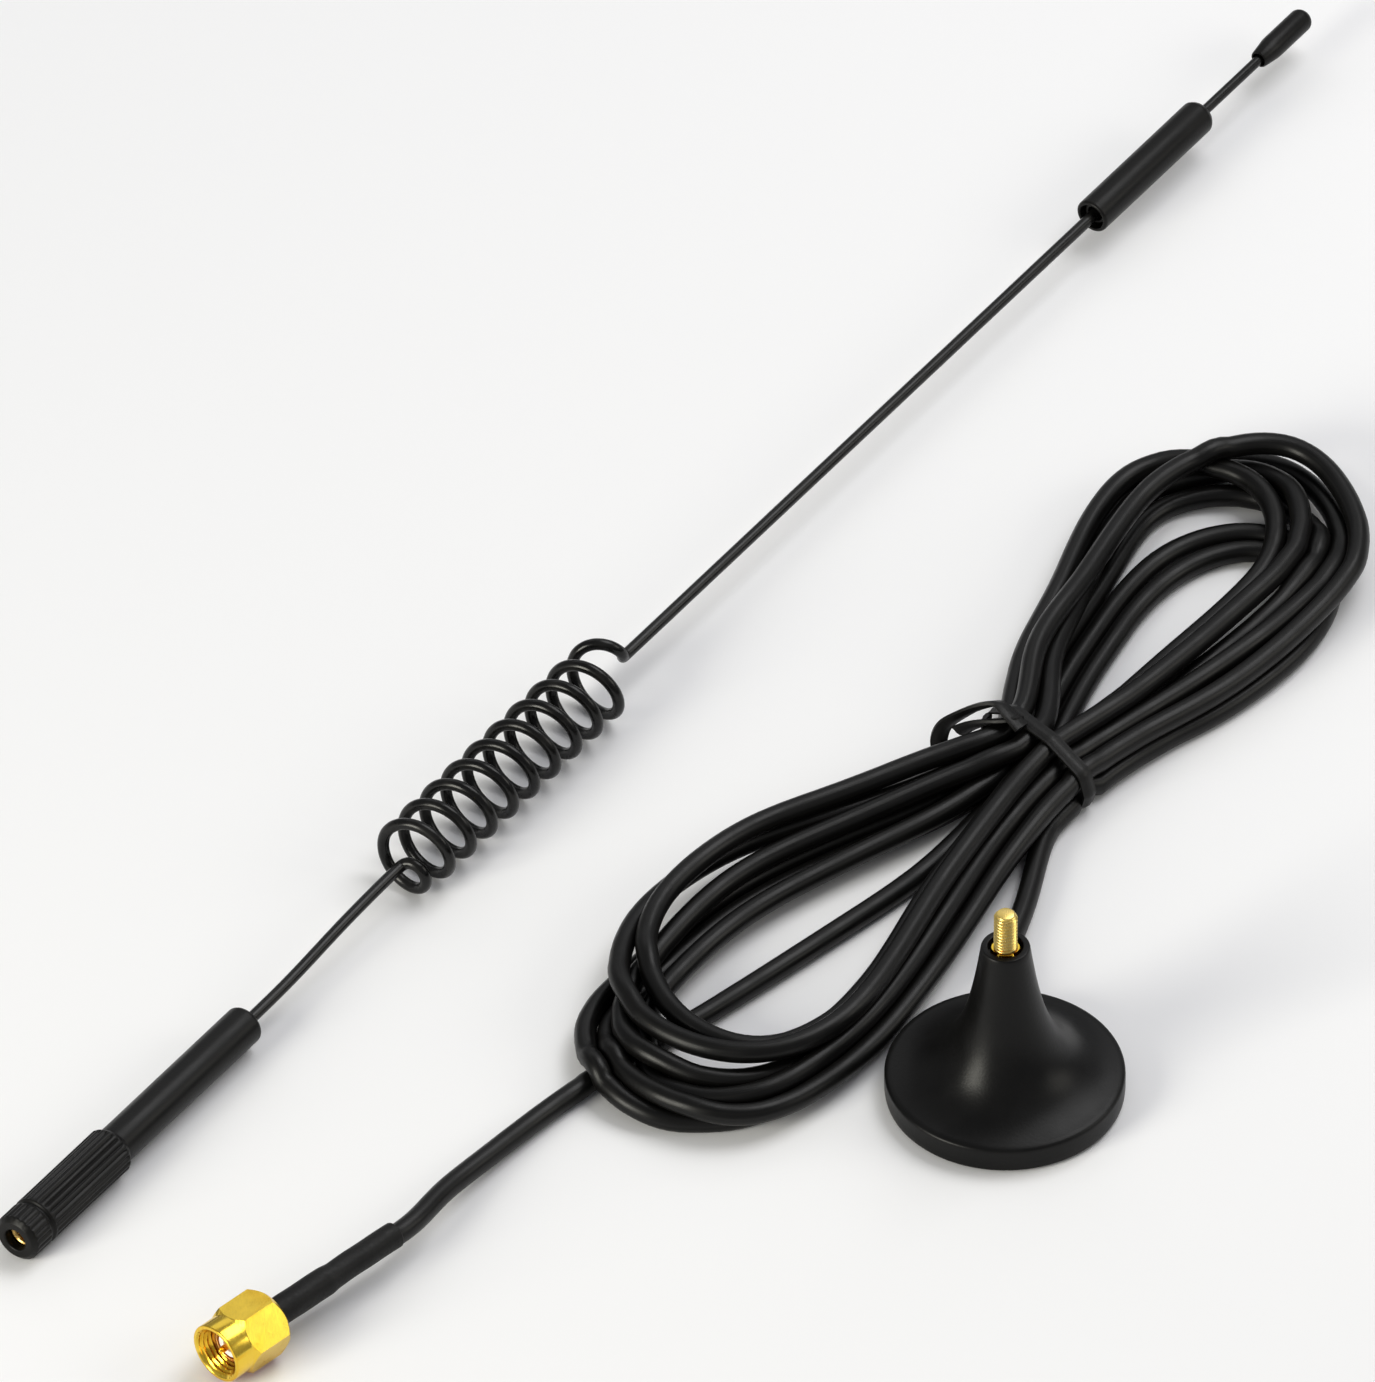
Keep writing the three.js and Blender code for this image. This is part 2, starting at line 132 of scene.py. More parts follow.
def add_studio():
    add_light("left_softbox", -50, 18, (0.34, 0.5), 7, color=(1, 0.98, 0.88))
    add_light("right_softbox", 88, 27, (0.5, 0.34), 1.3, color=(1, 0.97, 0.88))
    add_light("top_softbox", 127, 60, (0.6, 0.5), 3.8)
    add_light("back_panel", 180, 40, (1.0, 0.4), 0.8)
    world = bpy.data.worlds.new("studio")
    world.use_nodes = True
    world.node_tree.nodes["Background"].inputs["Color"].default_value = (0.95, 0.96, 1, 1)
    world.node_tree.nodes["Background"].inputs["Strength"].default_value = 0.32
    bpy.context.scene.world = world
    bpy.context.scene.view_settings.view_transform = "Standard"
    bpy.context.scene.view_settings.gamma = 0.92
    mesh = bpy.data.meshes.new("floor")
    half = 3
    corners = [(-half, -half, 0), (half, -half, 0), (half, half, 0), (-half, half, 0)]
    mesh.from_pydata(corners, [], [(0, 1, 2, 3)])
    floor = bpy.data.objects.new("floor", mesh)
    bpy.context.collection.objects.link(floor)
    floor.data.materials.append(plain_floor())


# ------ materials
class Nodes:
    """Short calls for making a node tree."""

    def __init__(self, name):
        self.material = bpy.data.materials.new(name)
        self.material.use_nodes = True
        self.tree = self.material.node_tree
        self.shader = self.tree.nodes["Principled BSDF"]

    def add(self, kind, settings=None, **inputs):
        node = self.tree.nodes.new(kind)
        for key, value in (settings or {}).items():
            setattr(node, key, value)
        for key, value in inputs.items():
            self.feed(node.inputs[key.replace("_", " ")], value)
        return node

    def feed(self, socket, value):
        if isinstance(value, bpy.types.NodeSocket):
            self.tree.links.new(value, socket)
        else:
            socket.default_value = value

    def set(self, **inputs):
        for key, value in inputs.items():
            self.feed(self.shader.inputs[key.replace("_", " ")], value)

    def place(self, coordinate="Object", stretch=(1, 1, 1)):
        source = self.add("ShaderNodeTexCoord").outputs[coordinate]
        mapping = self.add("ShaderNodeMapping", Scale=stretch)
        self.feed(mapping.inputs["Vector"], source)
        return mapping.outputs["Vector"]

    def noise(self, vector, scale, detail=3.0, roughness=0.5):
        node = self.add("ShaderNodeTexNoise", Vector=vector, Scale=scale, Detail=detail, Roughness=roughness)
        return node.outputs["Fac"]

    def ramp(self, value, low, high, to_low, to_high):
        node = self.add("ShaderNodeMapRange", {"interpolation_type": "SMOOTHSTEP"})
        for key, number in (("From Min", low), ("From Max", high), ("To Min", to_low), ("To Max", to_high)):
            node.inputs[key].default_value = number
        self.feed(node.inputs["Value"], value)
        return node.outputs["Result"]

    def mix(self, factor, color_a, color_b):
        node = self.add("ShaderNodeMix", {"data_type": "RGBA"})
        self.feed(node.inputs[0], factor)
        self.feed(node.inputs[6], color_a)
        self.feed(node.inputs[7], color_b)
        return node.outputs[2]

    def sum(self, *values):
        total = values[0]
        for value in values[1:]:
            node = self.add("ShaderNodeMath", {"operation": "ADD"})
            self.feed(node.inputs[0], total)
            self.feed(node.inputs[1], value)
            total = node.outputs[0]
        return total

    def times(self, a, b):
        node = self.add("ShaderNodeMath", {"operation": "MULTIPLY"})
        self.feed(node.inputs[0], a)
        self.feed(node.inputs[1], b)
        return node.outputs[0]

    def bump(self, height, depth_mm):
        node = self.add("ShaderNodeBump", Strength=1, Distance=depth_mm * MM, Height=height)
        self.set(Normal=node.outputs["Normal"])

    def edges(self, low=0.52, high=0.62):
        """1 on outer edges, 0 on flat places."""
        return self.ramp(self.add("ShaderNodeNewGeometry").outputs["Pointiness"], low, high, 0, 1)


def rgb(*values):
    return (*values, 1)


def plain_floor():
    n = Nodes("studio_floor")
    n.set(Base_Color=rgb(0.9, 0.9, 0.91), Roughness=0.9, Specular_IOR_Level=0.1)
    return n.material


def moulded_plastic(name, color, roughness, texture_mm=0.35, depth_mm=0.012):
    """Black moulded plastic with a fine eroded texture, cloudy gloss and paler rubbed edges."""
    n = Nodes(name)
    at = n.place()
    fine = n.noise(at, 1 / (texture_mm * MM), 2)
    cloud = n.noise(at, 160, 3)
    pale = rgb(*(c * 1.8 + 0.002 for c in color))
    tone = n.mix(n.ramp(cloud, 0.35, 0.7, 0, 0.3), rgb(*color), pale)
    tone = n.mix(n.times(n.edges(), n.ramp(n.noise(at, 900, 2), 0.4, 0.7, 0.1, 0.6)), tone, pale)
    n.set(Base_Color=tone, Specular_IOR_Level=0.22)
    n.set(Roughness=n.sum(n.ramp(cloud, 0.3, 0.75, roughness - 0.04, roughness + 0.05), n.times(fine, 0.06)))
    n.bump(fine, depth_mm)
    return n.material


def jacket_pvc():
    """Extruded jacket: fine lines along it, dull patches, a soft gloss. u is its length in metres."""
    n = Nodes("cable_jacket_pvc")
    lines = n.noise(n.place("UV", (40, 26, 1)), 1, 3)
    ripple = n.noise(n.place("UV", (420, 2, 1)), 1, 2)
    dull = n.noise(n.place(), 260, 3)
    specks = n.noise(n.place(), 5200, 2)
    tone = n.mix(n.ramp(lines, 0.35, 0.7, 0, 1), rgb(0.0028, 0.0027, 0.0026), rgb(0.0065, 0.0062, 0.0056))
    n.set(Base_Color=tone, Specular_IOR_Level=0.22, Coat_Weight=0.12, Coat_Roughness=0.3)
    n.set(Roughness=n.sum(n.ramp(dull, 0.3, 0.75, 0.3, 0.44), n.times(specks, 0.05)))
    n.bump(n.sum(n.times(lines, 0.6), n.times(ripple, 0.5), n.times(specks, 0.15)), 0.03)
    return n.material


def coated_wire():
    """Spring wire under a thin black lacquer, with faint drawing lines along it."""
    n = Nodes("wire_coating")
    lines = n.noise(n.place("UV", (30, 18, 1)), 1, 2)
    patches = n.noise(n.place(), 420, 3)
    tone = n.mix(n.ramp(patches, 0.4, 0.75, 0, 1), rgb(0.004, 0.004, 0.0038), rgb(0.011, 0.0105, 0.0095))
    n.set(Base_Color=tone, Specular_IOR_Level=0.25, Coat_Weight=0.15, Coat_Roughness=0.12)
    n.set(Roughness=n.ramp(patches, 0.3, 0.7, 0.22, 0.34))
    n.bump(n.sum(lines, n.times(patches, 0.8)), 0.012)
    return n.material


def gold_plate(name="gold_plating", color=(0.87, 0.55, 0.05), roughness=0.17):
    """Bright gold over turned brass: tool rings, small scratches, and painted shade in hollows, a darker and
    redder tone where ambient occlusion finds surfaces close by.
    """
    n = Nodes(name)
    at = n.place()
    cloud = n.noise(at, 500, 3)
    scratches = n.noise(n.place("Object", (9000, 900, 2600)), 1, 2)
    deep = rgb(color[0] * 0.9, color[1] * 0.84, color[2] * 0.5)
    tone = n.mix(n.ramp(cloud, 0.4, 0.75, 0, 0.6), rgb(*color), deep)
    tone = n.mix(n.edges(0.5, 0.6), tone, rgb(color[0], color[1] * 1.12, color[2] * 1.6))
    # Painted shade: where ambient occlusion within 3 mm finds surfaces close round a point, the gold is
    # coloured darker and redder.
    unshaded_ao = n.add("ShaderNodeAmbientOcclusion", Distance=3 * MM).outputs["AO"]
    painted_hollow_shade = rgb(color[0] * 0.6, color[1] * 0.28, color[2] * 0.2)
    tone = n.mix(n.ramp(unshaded_ao, 0.15, 0.6, 0, 1), painted_hollow_shade, tone)
    n.set(Base_Color=tone, Metallic=0.93)
    wear = n.sum(n.times(cloud, 0.5), n.times(scratches, 0.5))
    n.set(Roughness=n.ramp(wear, 0.35, 0.7, roughness - 0.03, roughness + 0.12))
    n.bump(scratches, 0.004)
    return n.material


def worn_metal(name, color, roughness, stretch):
    """Bare or plated metal with brushing along one direction and stained patches."""
    n = Nodes(name)
    cloud = n.noise(n.place(), 300, 4)
    brush = n.noise(n.place("Object", stretch), 1, 3)
    dark = rgb(*(c * 0.55 for c in color))
    n.set(Base_Color=n.mix(n.ramp(cloud, 0.4, 0.8, 0, 0.7), rgb(*color), dark), Metallic=1.0)
    n.set(Roughness=n.ramp(brush, 0.3, 0.7, roughness - 0.08, roughness + 0.12))
    n.bump(brush, 0.006)
    return n.material


def ferrite():
    n = Nodes("ferrite_magnet")
    grain = n.noise(n.place(), 3500, 4, 0.7)
    chips = n.noise(n.place(), 500, 3)
    n.set(Base_Color=n.mix(n.ramp(grain, 0.35, 0.7, 0, 1), rgb(0.03, 0.03, 0.032), rgb(0.075, 0.075, 0.08)))
    n.set(Roughness=n.ramp(chips, 0.3, 0.7, 0.5, 0.75), Metallic=0.15)
    n.bump(grain, 0.03)
    return n.material


def rubber(name, color, roughness, ridge_stretch=None):
    """Soft black or coloured rubber with a grainy face, and shrink lines where a stretch is given."""
    n = Nodes(name)
    grain = n.noise(n.place(), 2600, 4, 0.65)
    cloud = n.noise(n.place(), 240, 2)
    height = n.times(grain, 0.7)
    if ridge_stretch:
        height = n.sum(height, n.noise(n.place("UV", ridge_stretch), 1, 2))
    pale = rgb(*(c * 1.7 + 0.0015 for c in color))
    n.set(Base_Color=n.mix(n.ramp(cloud, 0.35, 0.75, 0, 0.8), rgb(*color), pale))
    n.set(Roughness=n.ramp(grain, 0.3, 0.7, roughness - 0.06, roughness + 0.08), Specular_IOR_Level=0.28)
    n.bump(height, 0.03)
    return n.material


def ptfe():
    n = Nodes("white_ptfe")
    cloud = n.noise(n.place(), 700, 3)
    lines = n.noise(n.place("Object", (5200, 5200, 300)), 1, 2)
    n.set(Base_Color=n.mix(n.ramp(cloud, 0.35, 0.75, 0, 1), rgb(0.85, 0.84, 0.8), rgb(0.76, 0.74, 0.68)))
    n.set(Roughness=n.ramp(lines, 0.3, 0.7, 0.32, 0.5), Subsurface_Weight=0.2, Subsurface_Scale=0.4 * MM)
    n.bump(lines, 0.008)
    return n.material


def make_materials():
    return {
        "shell": moulded_plastic("shell_plastic", (0.0038, 0.0037, 0.0036), 0.33),
        "ferrule": moulded_plastic("ferrule_plastic", (0.0046, 0.0044, 0.004), 0.34, 0.28, 0.014),
        "jacket": jacket_pvc(),
        "wire": coated_wire(),
        "gold": gold_plate(),
        "inner_gold": gold_plate("contact_gold", (1.0, 0.6, 0.16), 0.2),
        "pale_gold": gold_plate("stud_gold", (0.8, 0.6, 0.19), 0.28),
        "brass": worn_metal("turned_brass", (0.62, 0.42, 0.15), 0.3, (600, 6000, 6000)),
        "steel": worn_metal("plated_steel", (0.5, 0.51, 0.53), 0.34, (400, 5000, 5000)),
        "copper": worn_metal("tinned_copper", (0.72, 0.36, 0.2), 0.36, (900, 900, 7000)),
        "magnet": ferrite(),
        "boot": rubber("shrink_tube", (0.0055, 0.0052, 0.005), 0.5, (300, 9, 1)),
        "tie": rubber("tie_pvc", (0.0055, 0.0053, 0.005), 0.4, (12, 30, 1)),
        "relief": rubber("relief_rubber", (0.0055, 0.0053, 0.005), 0.5),
        "film": rubber("bottom_film_pad", (0.02, 0.02, 0.021), 0.62),
        "silicone": rubber("gasket_rubber", (0.42, 0.09, 0.035), 0.45),
        "ptfe": ptfe(),
    }


# ------ mesh tools
def frame_matrix(origin, heading=0.0, axis="X"):
    """Columns x, y, z and origin. A turned body's axis is the frame's x."""
    turn = {
        "X": ((1, 0, 0), (0, 1, 0), (0, 0, 1)),
        "Y": ((0, 1, 0), (0, 0, 1), (1, 0, 0)),
        "Z": ((0, 0, 1), (1, 0, 0), (0, 1, 0)),
    }[axis]
    c, s = math.cos(heading), math.sin(heading)
    spin = np.array([[c, -s, 0], [s, c, 0], [0, 0, 1]])
    return spin @ np.array(turn, float).T, np.array(origin, float)


WHIP = frame_matrix((*WHIP_FOOT, FERRULE_R), WHIP_HEADING)
ROD = frame_matrix((*WHIP_FOOT, COIL_AXIS_Z), WHIP_HEADING)
PLUG = frame_matrix((*PLUG_FRONT, PLUG_Z), PLUG_HEADING)
UPRIGHT = frame_matrix((0, 0, 0), 0, "Z")
RELIEF = frame_matrix((0, 0, EXIT_Z), 0, "Y")


def to_world(points, place):
    turn, origin = place
    return np.asarray(points, float) @ turn.T + origin


def add_mesh(name, points, faces, finish, uvs=None, sharp=38):
    """Points in millimetres, in the row frame. Edges that turn more than sharp degrees stay crisp."""
    mesh = bpy.data.meshes.new(name)
    mesh.from_pydata([tuple(p) for p in np.asarray(points) * MM], [], faces)
    if uvs is not None:
        layer = mesh.uv_layers.new(name="UVMap")
        flat = np.array([uv for face in uvs for uv in face], np.float32)
        layer.data.foreach_set("uv", flat.ravel())
    obj = bpy.data.objects.new(name, mesh)
    bpy.context.collection.objects.link(obj)
    mesh.materials.append(FINISHES[finish])
    crisp(mesh, sharp)
    return obj


def crisp(mesh, sharp):
    work = bmesh.new()
    work.from_mesh(mesh)
    bmesh.ops.recalc_face_normals(work, faces=work.faces)
    limit = math.radians(sharp)
    for face in work.faces:
        face.smooth = True
    for edge in work.edges:
        edge.smooth = len(edge.link_faces) == 2 and edge.calc_face_angle(0) < limit
    work.to_mesh(mesh)
    work.free()


def rounded(profile, radius, steps=3, closed=True):
    """The profile with its corners cut back by radius and rounded."""
    points = [np.array(p[:2], float) for p in profile]
    out = []
    for k, corner in enumerate(points):
        if not closed and k in (0, len(points) - 1):
            out.append(tuple(corner))
            continue
        before, after = points[k - 1], points[(k + 1) % len(points)]
        cut = [min(radius, 0.42 * np.linalg.norm(end - corner)) for end in (before, after)]
        start = corner + (before - corner) / np.linalg.norm(before - corner) * cut[0]
        finish = corner + (after - corner) / np.linalg.norm(after - corner) * cut[1]
        for t in np.linspace(0, 1, steps + 1):
            out.append(tuple((1 - t) ** 2 * start + 2 * t * (1 - t) * corner + t * t * finish))
    return out


def dense(profile, start, end, step, radii=(0, 99), closed=True):
    """Adds points to the profile's runs between two heights and two radii."""
    out = []
    count = len(profile)
    for k, a in enumerate(profile):
        out.append(a)
        if k == count - 1 and not closed:
            break
        b = profile[(k + 1) % count]
        middle_z, middle_r = (a[1] + b[1]) / 2, (a[0] + b[0]) / 2
        parts = int(abs(b[1] - a[1]) / step)
        if start <= middle_z <= end and radii[0] <= middle_r <= radii[1] and parts > 1:
            for t in range(1, parts):
                out.append((a[0] + (b[0] - a[0]) * t / parts, a[1] + (b[1] - a[1]) * t / parts))
    return out


def turned(name, profile, place, finish, segments=72, shape=None, sharp=38):
    """A body of revolution from [radius, height] points, closed as a ring or from axis to axis.
    shape(angles, radius, height) may change the radius round the body."""
    angles = np.linspace(0, 2 * math.pi, segments, endpoint=False)
    points, rows = [], []
    for radius, height in profile:
        if radius < 1e-6:
            rows.append([len(points)])
            points.append((height, 0, 0))
            continue
        rows.append(list(range(len(points), len(points) + segments)))
        r = np.full(segments, float(radius)) if shape is None else shape(angles, radius, height)
        points += [(height, q * math.cos(a), q * math.sin(a)) for q, a in zip(r, angles)]
    faces, uvs = [], []
    lengths = np.cumsum([0] + [math.dist(a, b) for a, b in zip(profile, [*profile[1:], profile[0]])]) * MM
    ring = profile[0][0] > 1e-6
    for k in range(len(rows) if ring else len(rows) - 1):
        a, b = rows[k], rows[(k + 1) % len(rows)]
        if len(a) == len(b) == 1:
            continue
        for i in range(segments):
            j = (i + 1) % segments
            corners = [(a, i, k), (b, i, k + 1), (b, j, k + 1), (a, j, k)]
            if len(a) == 1:
                corners = corners[:3]
            elif len(b) == 1:
                corners = [corners[0], corners[1], corners[3]]
            faces.append([row[n % len(row)] if len(row) > 1 else row[0] for row, n, _ in corners])
            turn = {i: i / segments, j: (i + 1) / segments}
            uvs.append([(lengths[level], turn[n]) for _, n, level in corners])
    return add_mesh(name, to_world(points, place), faces, finish, uvs, sharp)


def run_length(points):
    return np.concatenate([[0], np.cumsum(np.linalg.norm(np.diff(points, axis=0), axis=1))])


def section_frames(points):
    """Unit tangents and side vectors that turn as little as possible along the line."""
    tangent = np.gradient(points, axis=0)
    tangent /= np.linalg.norm(tangent, axis=1)[:, None]
    side = np.zeros_like(points)
    start = np.cross(tangent[0], (0, 0, 1))
    side[0] = start / np.linalg.norm(start)
    for k in range(1, len(points)):
        moved = side[k - 1] - tangent[k] * (side[k - 1] @ tangent[k])
        side[k] = moved / np.linalg.norm(moved)
    return tangent, side, np.cross(tangent, side)


def swept(name, points, section, finish, frames=None):
    """A solid that carries the section, a list of (side, up) points, along the line."""
    points = np.asarray(points, float)
    _, side, up = frames or section_frames(points)
    section = np.array(section, float)
    offsets = section[None, :, :1] * side[:, None] + section[None, :, 1:] * up[:, None]
    grid = points[:, None] + offsets
    count, sides = grid.shape[:2]
    length = run_length(points) * MM
    faces, uvs = [], []
    for k in range(count - 1):
        for i in range(sides):
            j = (i + 1) % sides
            faces.append([k * sides + i, k * sides + j, (k + 1) * sides + j, (k + 1) * sides + i])
            u, v = (length[k], length[k + 1]), (i / sides, (i + 1) / sides)
            uvs.append([(u[0], v[0]), (u[0], v[1]), (u[1], v[1]), (u[1], v[0])])
    for row in (0, count - 1):
        faces.append([row * sides + i for i in range(sides)])
        uvs.append([(length[row], i / sides) for i in range(sides)])
    return add_mesh(name, grid.reshape(-1, 3), faces, finish, uvs, sharp=50)


def circle(radius, sides):
    turns = [2 * math.pi * i / sides for i in range(sides)]
    return [(radius * math.cos(t), radius * math.sin(t)) for t in turns]


def combine(target, other, operation):
    """Joins, cuts or intersects two meshes, in millimetres for exactness, and keeps the first."""
    for obj in (target, other):
        obj.data.transform(Matrix.Scale(1 / MM, 4))
    modifier = target.modifiers.new("combine", "BOOLEAN")
    modifier.operation = operation
    modifier.solver = "EXACT"
    modifier.object = other
    bpy.context.view_layer.update()
    result = bpy.data.meshes.new_from_object(target.evaluated_get(bpy.context.evaluated_depsgraph_get()))
    target.modifiers.clear()
    result.transform(Matrix.Scale(MM, 4))
    target.data = result
    bpy.data.objects.remove(other)
    crisp(result, 32)


def finish_piece(obj, body, slot, *nodes):
    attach(obj, body)
    if nodes:
        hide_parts(*nodes)
    return obj


# ------ the cable's route
# Each turn of the hank lies between an inner and an outer loop: a mix of 0 is the inner one and
# 1 the outer one, station by station. The right loops run from the lower side of the tie round
# to its upper side, and the left loops go back from the upper side to the lower one.
RIGHT_INNER = [
    (13.4, 65), (21.4, 75.2), (30.5, 86), (35, 95), (30.5, 99.3),
    (21.8, 96.4), (15.6, 89.4), (11.4, 81.4), (8.4, 73.2),
]
RIGHT_OUTER = [
    (15.6, 61.2), (27.3, 70), (39.6, 84.8), (44, 98), (35, 114.7),
    (18.6, 114), (11.6, 104), (7, 89.9), (1.6, 76.8),
]
LEFT_INNER = [
    (-6.2, 48.8), (-17.9, 40.8), (-32.4, 29.8), (-40, 18.7), (-41.5, 10), (-37.3, 3.8),
    (-29.5, 0.2), (-19.4, 6.6), (-13.2, 18.6), (-8.6, 31), (-2.6, 42.6),
]
LEFT_OUTER = [
    (-8, 54.9), (-19.5, 48.4), (-33.8, 40.3), (-45.9, 25.6), (-52, 8), (-47.4, -4.8),
    (-33.4, -7.6), (-24.3, -0.2), (-15.2, 12.8), (-7.2, 27.2), (0.2, 42.4),
]
# In the order that the cable is wound: the turn's layer, its two places in the tie as (across,
# row) for a right turn, and its mixes.
TURNS = [
    (1, (6.3, 1), (-3.5, 0), (0.75, 0.88, 0.9, 0.65, 0.28, 0.2, 0.15, 0.15, 0.2)),
    (2, None, None, (0.3, 0.3, 0.25, 0.35, 0.8, 0.8, 1, 1, 1, 0.9, 0.9)),
    (6, (4.9, 2), (-3.5, 2), (0.8, 0.8, 0.75, 0.9, 1, 0.65, 0.5, 0.5, 0.6)),
    (6, None, None, (1, 1, 0.98, 0.8, 0.1, 0, -0.05, 0, 0, 0, 0)),
    (5, (0.7, 1), (-4.9, 1), (0.05, -0.03, -0.1, 0, 0.6, 0.9, 0.9, 0.85, 0.8)),
    (5, None, None, (0.7, 0.85, 0.95, 0.9, 0.5, 0.25, 0.1, 0.15, 0.2, 0.2, 0.2)),
    (4, (2.1, 2), (-0.7, 2), (0.3, 0.22, 0.15, 0.45, 0.75, 0.75, 0.65, 0.55, 0.5)),
    (4, None, None, (0.45, 0.5, 0.5, 0.4, 0.55, 0.55, 0.5, 0.5, 0.5, 0.5, 0.3)),
    (2, (2.1, 0), (-2.1, 1), (0.45, 0.4, 0.45, 0.55, 0.55, 0.6, 0.4, 0.35, 0.4)),
    (3, None, None, (0, 0, 0, 0.1, 0.42, 0.7, 0.82, 0.8, 0.7, 0.6, 0.5)),
    (3, (3.5, 1), (-6.3, 0), (0.55, 0.55, 0.62, 0.78, 0.95, 1, 1, 1, 1)),
    (1, None, None, (0.6, 0.62, 0.55, 0.6, 1, 0.95, 0.85, 0.9, 0.8, 0.8, 0.6)),
    (0, (4.9, 0), (-0.7, 0), (0.7, 0.65, 0.55, 0.3, 0.05, 0, -0.03, -0.05, 0)),
]
LEAD_FROM_BASE = [
    (0, RELIEF_END - 1, EXIT_Z), (0, RELIEF_END + 0.3, EXIT_Z), (0.6, 26, 1.55),
    (1.6, 29.5, CABLE_R), (2.4, 33.2, CABLE_R), (3.1, 37.4, CABLE_R), (3.7, 42.6, CABLE_R),
    (4.6, 47.6, 1.6), (6.4, 51.6, 2.6),
]
LEAD_TO_PLUG = [
    (-3.2, 47.6, 1.5), (-9.8, 38.4, CABLE_R), (-22.8, 25.7, CABLE_R), (-38.6, 11.1, CABLE_R),
    (-46.8, 4.2, CABLE_R), (-53.1, -1.5, CABLE_R), (-58.5, -7.4, CABLE_R), (-62, -11.6, CABLE_R),
    (-66, -16.8, 1.9), (-70, -22.4, 3.2),
]
LAYER_HEIGHT = 2.9
TIE_ROW_HEIGHT = 2.42
STEP = 1.2


def plug_point(along, height=PLUG_Z):
    x = PLUG_FRONT[0] + along * math.cos(PLUG_HEADING)
    y = PLUG_FRONT[1] + along * math.sin(PLUG_HEADING)
    return (x, y, height)


def tie_point(across, row):
    x, y = TIE_CENTRE + ACROSS_TIE * across
    return (x, y, TIE_THICKNESS + CABLE_R + 0.05 + TIE_ROW_HEIGHT * row)


def cable_route():
    points = list(LEAD_FROM_BASE)
    for layer, lower, upper, mixes in TURNS:
        inner, outer = (RIGHT_INNER, RIGHT_OUTER) if lower else (LEFT_INNER, LEFT_OUTER)
        height = CABLE_R + LAYER_HEIGHT * layer
        loop = []
        for a, b, mix in zip(inner, outer, mixes):
            loop.append((a[0] + (b[0] - a[0]) * mix, a[1] + (b[1] - a[1]) * mix, height))
        points += [tie_point(*lower), *loop, tie_point(*upper)] if lower else loop
    points += [*LEAD_TO_PLUG, plug_point(BOOT_END + 3, 4.4), plug_point(BOOT_END + 0.3)]
    points += [plug_point(BOOT_END - 3), plug_point(BOOT_STEP + 5), plug_point(BOOT_STEP + 1)]
    return np.array(points, float)


def curve_through(points, samples=24):
    """A centripetal Catmull-Rom curve."""
    points = np.asarray(points, float)
    p = np.vstack([2 * points[0] - points[1], points, 2 * points[-1] - points[-2]])
    out = []
    for a, b, c, d in zip(p[:-3], p[1:-2], p[2:-1], p[3:]):
        t0, t1, t2, t3 = np.cumsum([0] + [np.linalg.norm(v) ** 0.5 for v in (b - a, c - b, d - c)])
        s = np.linspace(t1, t2, samples, endpoint=False)[:, None]
        ab = (a * (t1 - s) + b * (s - t0)) / (t1 - t0)
        bc = (b * (t2 - s) + c * (s - t1)) / (t2 - t1)
        cd = (c * (t3 - s) + d * (s - t2)) / (t3 - t2)
        abc = (ab * (t2 - s) + bc * (s - t0)) / (t2 - t0)
        bcd = (bc * (t3 - s) + cd * (s - t1)) / (t3 - t1)
        out.append((abc * (t2 - s) + bcd * (s - t1)) / (t2 - t1))
    return np.vstack([*out, p[-2:-1]])


def spaced(points, count, measured=None):
    """The line as evenly spaced points, spaced on the measured line where one is given."""
    at = run_length(points if measured is None else measured)
    wanted = np.linspace(0, at[-1], count)
    return np.stack([np.interp(wanted, at, points[:, k]) for k in range(3)], 1)


def smoothed(points, reach, step):
    half = int(3 * reach / step)
    weights = np.exp(-0.5 * (np.arange(-half, half + 1) * step / reach) ** 2)
    weights /= weights.sum()
    before = 2 * points[0] - points[half:0:-1]
    after = 2 * points[-1] - points[-2 : -half - 2 : -1]
    padded = np.vstack([before, points, after])
    return np.stack([np.convolve(padded[:, k], weights, "valid") for k in range(3)], 1)


def close_pairs(x, reach):
    """Numbers of the points that are near each other but not neighbours along the cable."""
    neighbours = math.ceil(1.6 * CABLE_D / STEP)
    square = (x * x).sum(1)
    near = square[:, None] + square[None] - 2 * x @ x.T < reach * reach
    return np.nonzero(np.triu(near, neighbours))


# The bundle's half width and height for the cable's centre in the tie. It widens beyond the tie.
BUNDLE_HALF_WIDTH, BUNDLE_TOP = 6.35, 6.9
TIE_HALF_LENGTH = 1.2
ROOT_POINTS = 30


def hold_in(x):
    """Keeps the cable above the ground, inside the tie and clear of the base's rim."""
    offset = x[:, :2] - TIE_CENTRE
    along, across = np.abs(offset @ ALONG_TIE), offset @ ACROSS_TIE
    beyond = np.maximum(along - TIE_HALF_LENGTH, 0)
    in_tie = (along < 1.6) & (np.abs(across) < 9)
    x[:, 2] = np.maximum(x[:, 2], CABLE_R + np.where(in_tie, TIE_THICKNESS, 0))
    limit = BUNDLE_HALF_WIDTH + 0.7 * beyond
    over = np.where((along < 9) & (np.abs(across) < 14), np.abs(across) - limit, 0)
    x[:, :2] -= (np.sign(across) * np.maximum(over, 0) * 0.5)[:, None] * ACROSS_TIE
    top = BUNDLE_TOP + 0.5 * beyond
    inside = (along < 4) & (np.abs(across) < 9)
    x[:, 2] -= np.where(inside, np.maximum(x[:, 2] - top, 0) * 0.5, 0)
    r = np.hypot(x[:, 0], x[:, 1])
    up, out = RIM_TOP_Z + CABLE_R + 0.1 - x[:, 2], BASE_R + CABLE_R - r
    near = (up > 0) & (out > 0)
    near[:ROOT_POINTS] = False
    x[:, 2] += np.where(near & (up < out), up * 0.5, 0)
    x[:, :2] *= (1 + np.where(near & (up >= out), out / np.maximum(r, 1e-6) * 0.5, 0))[:, None]


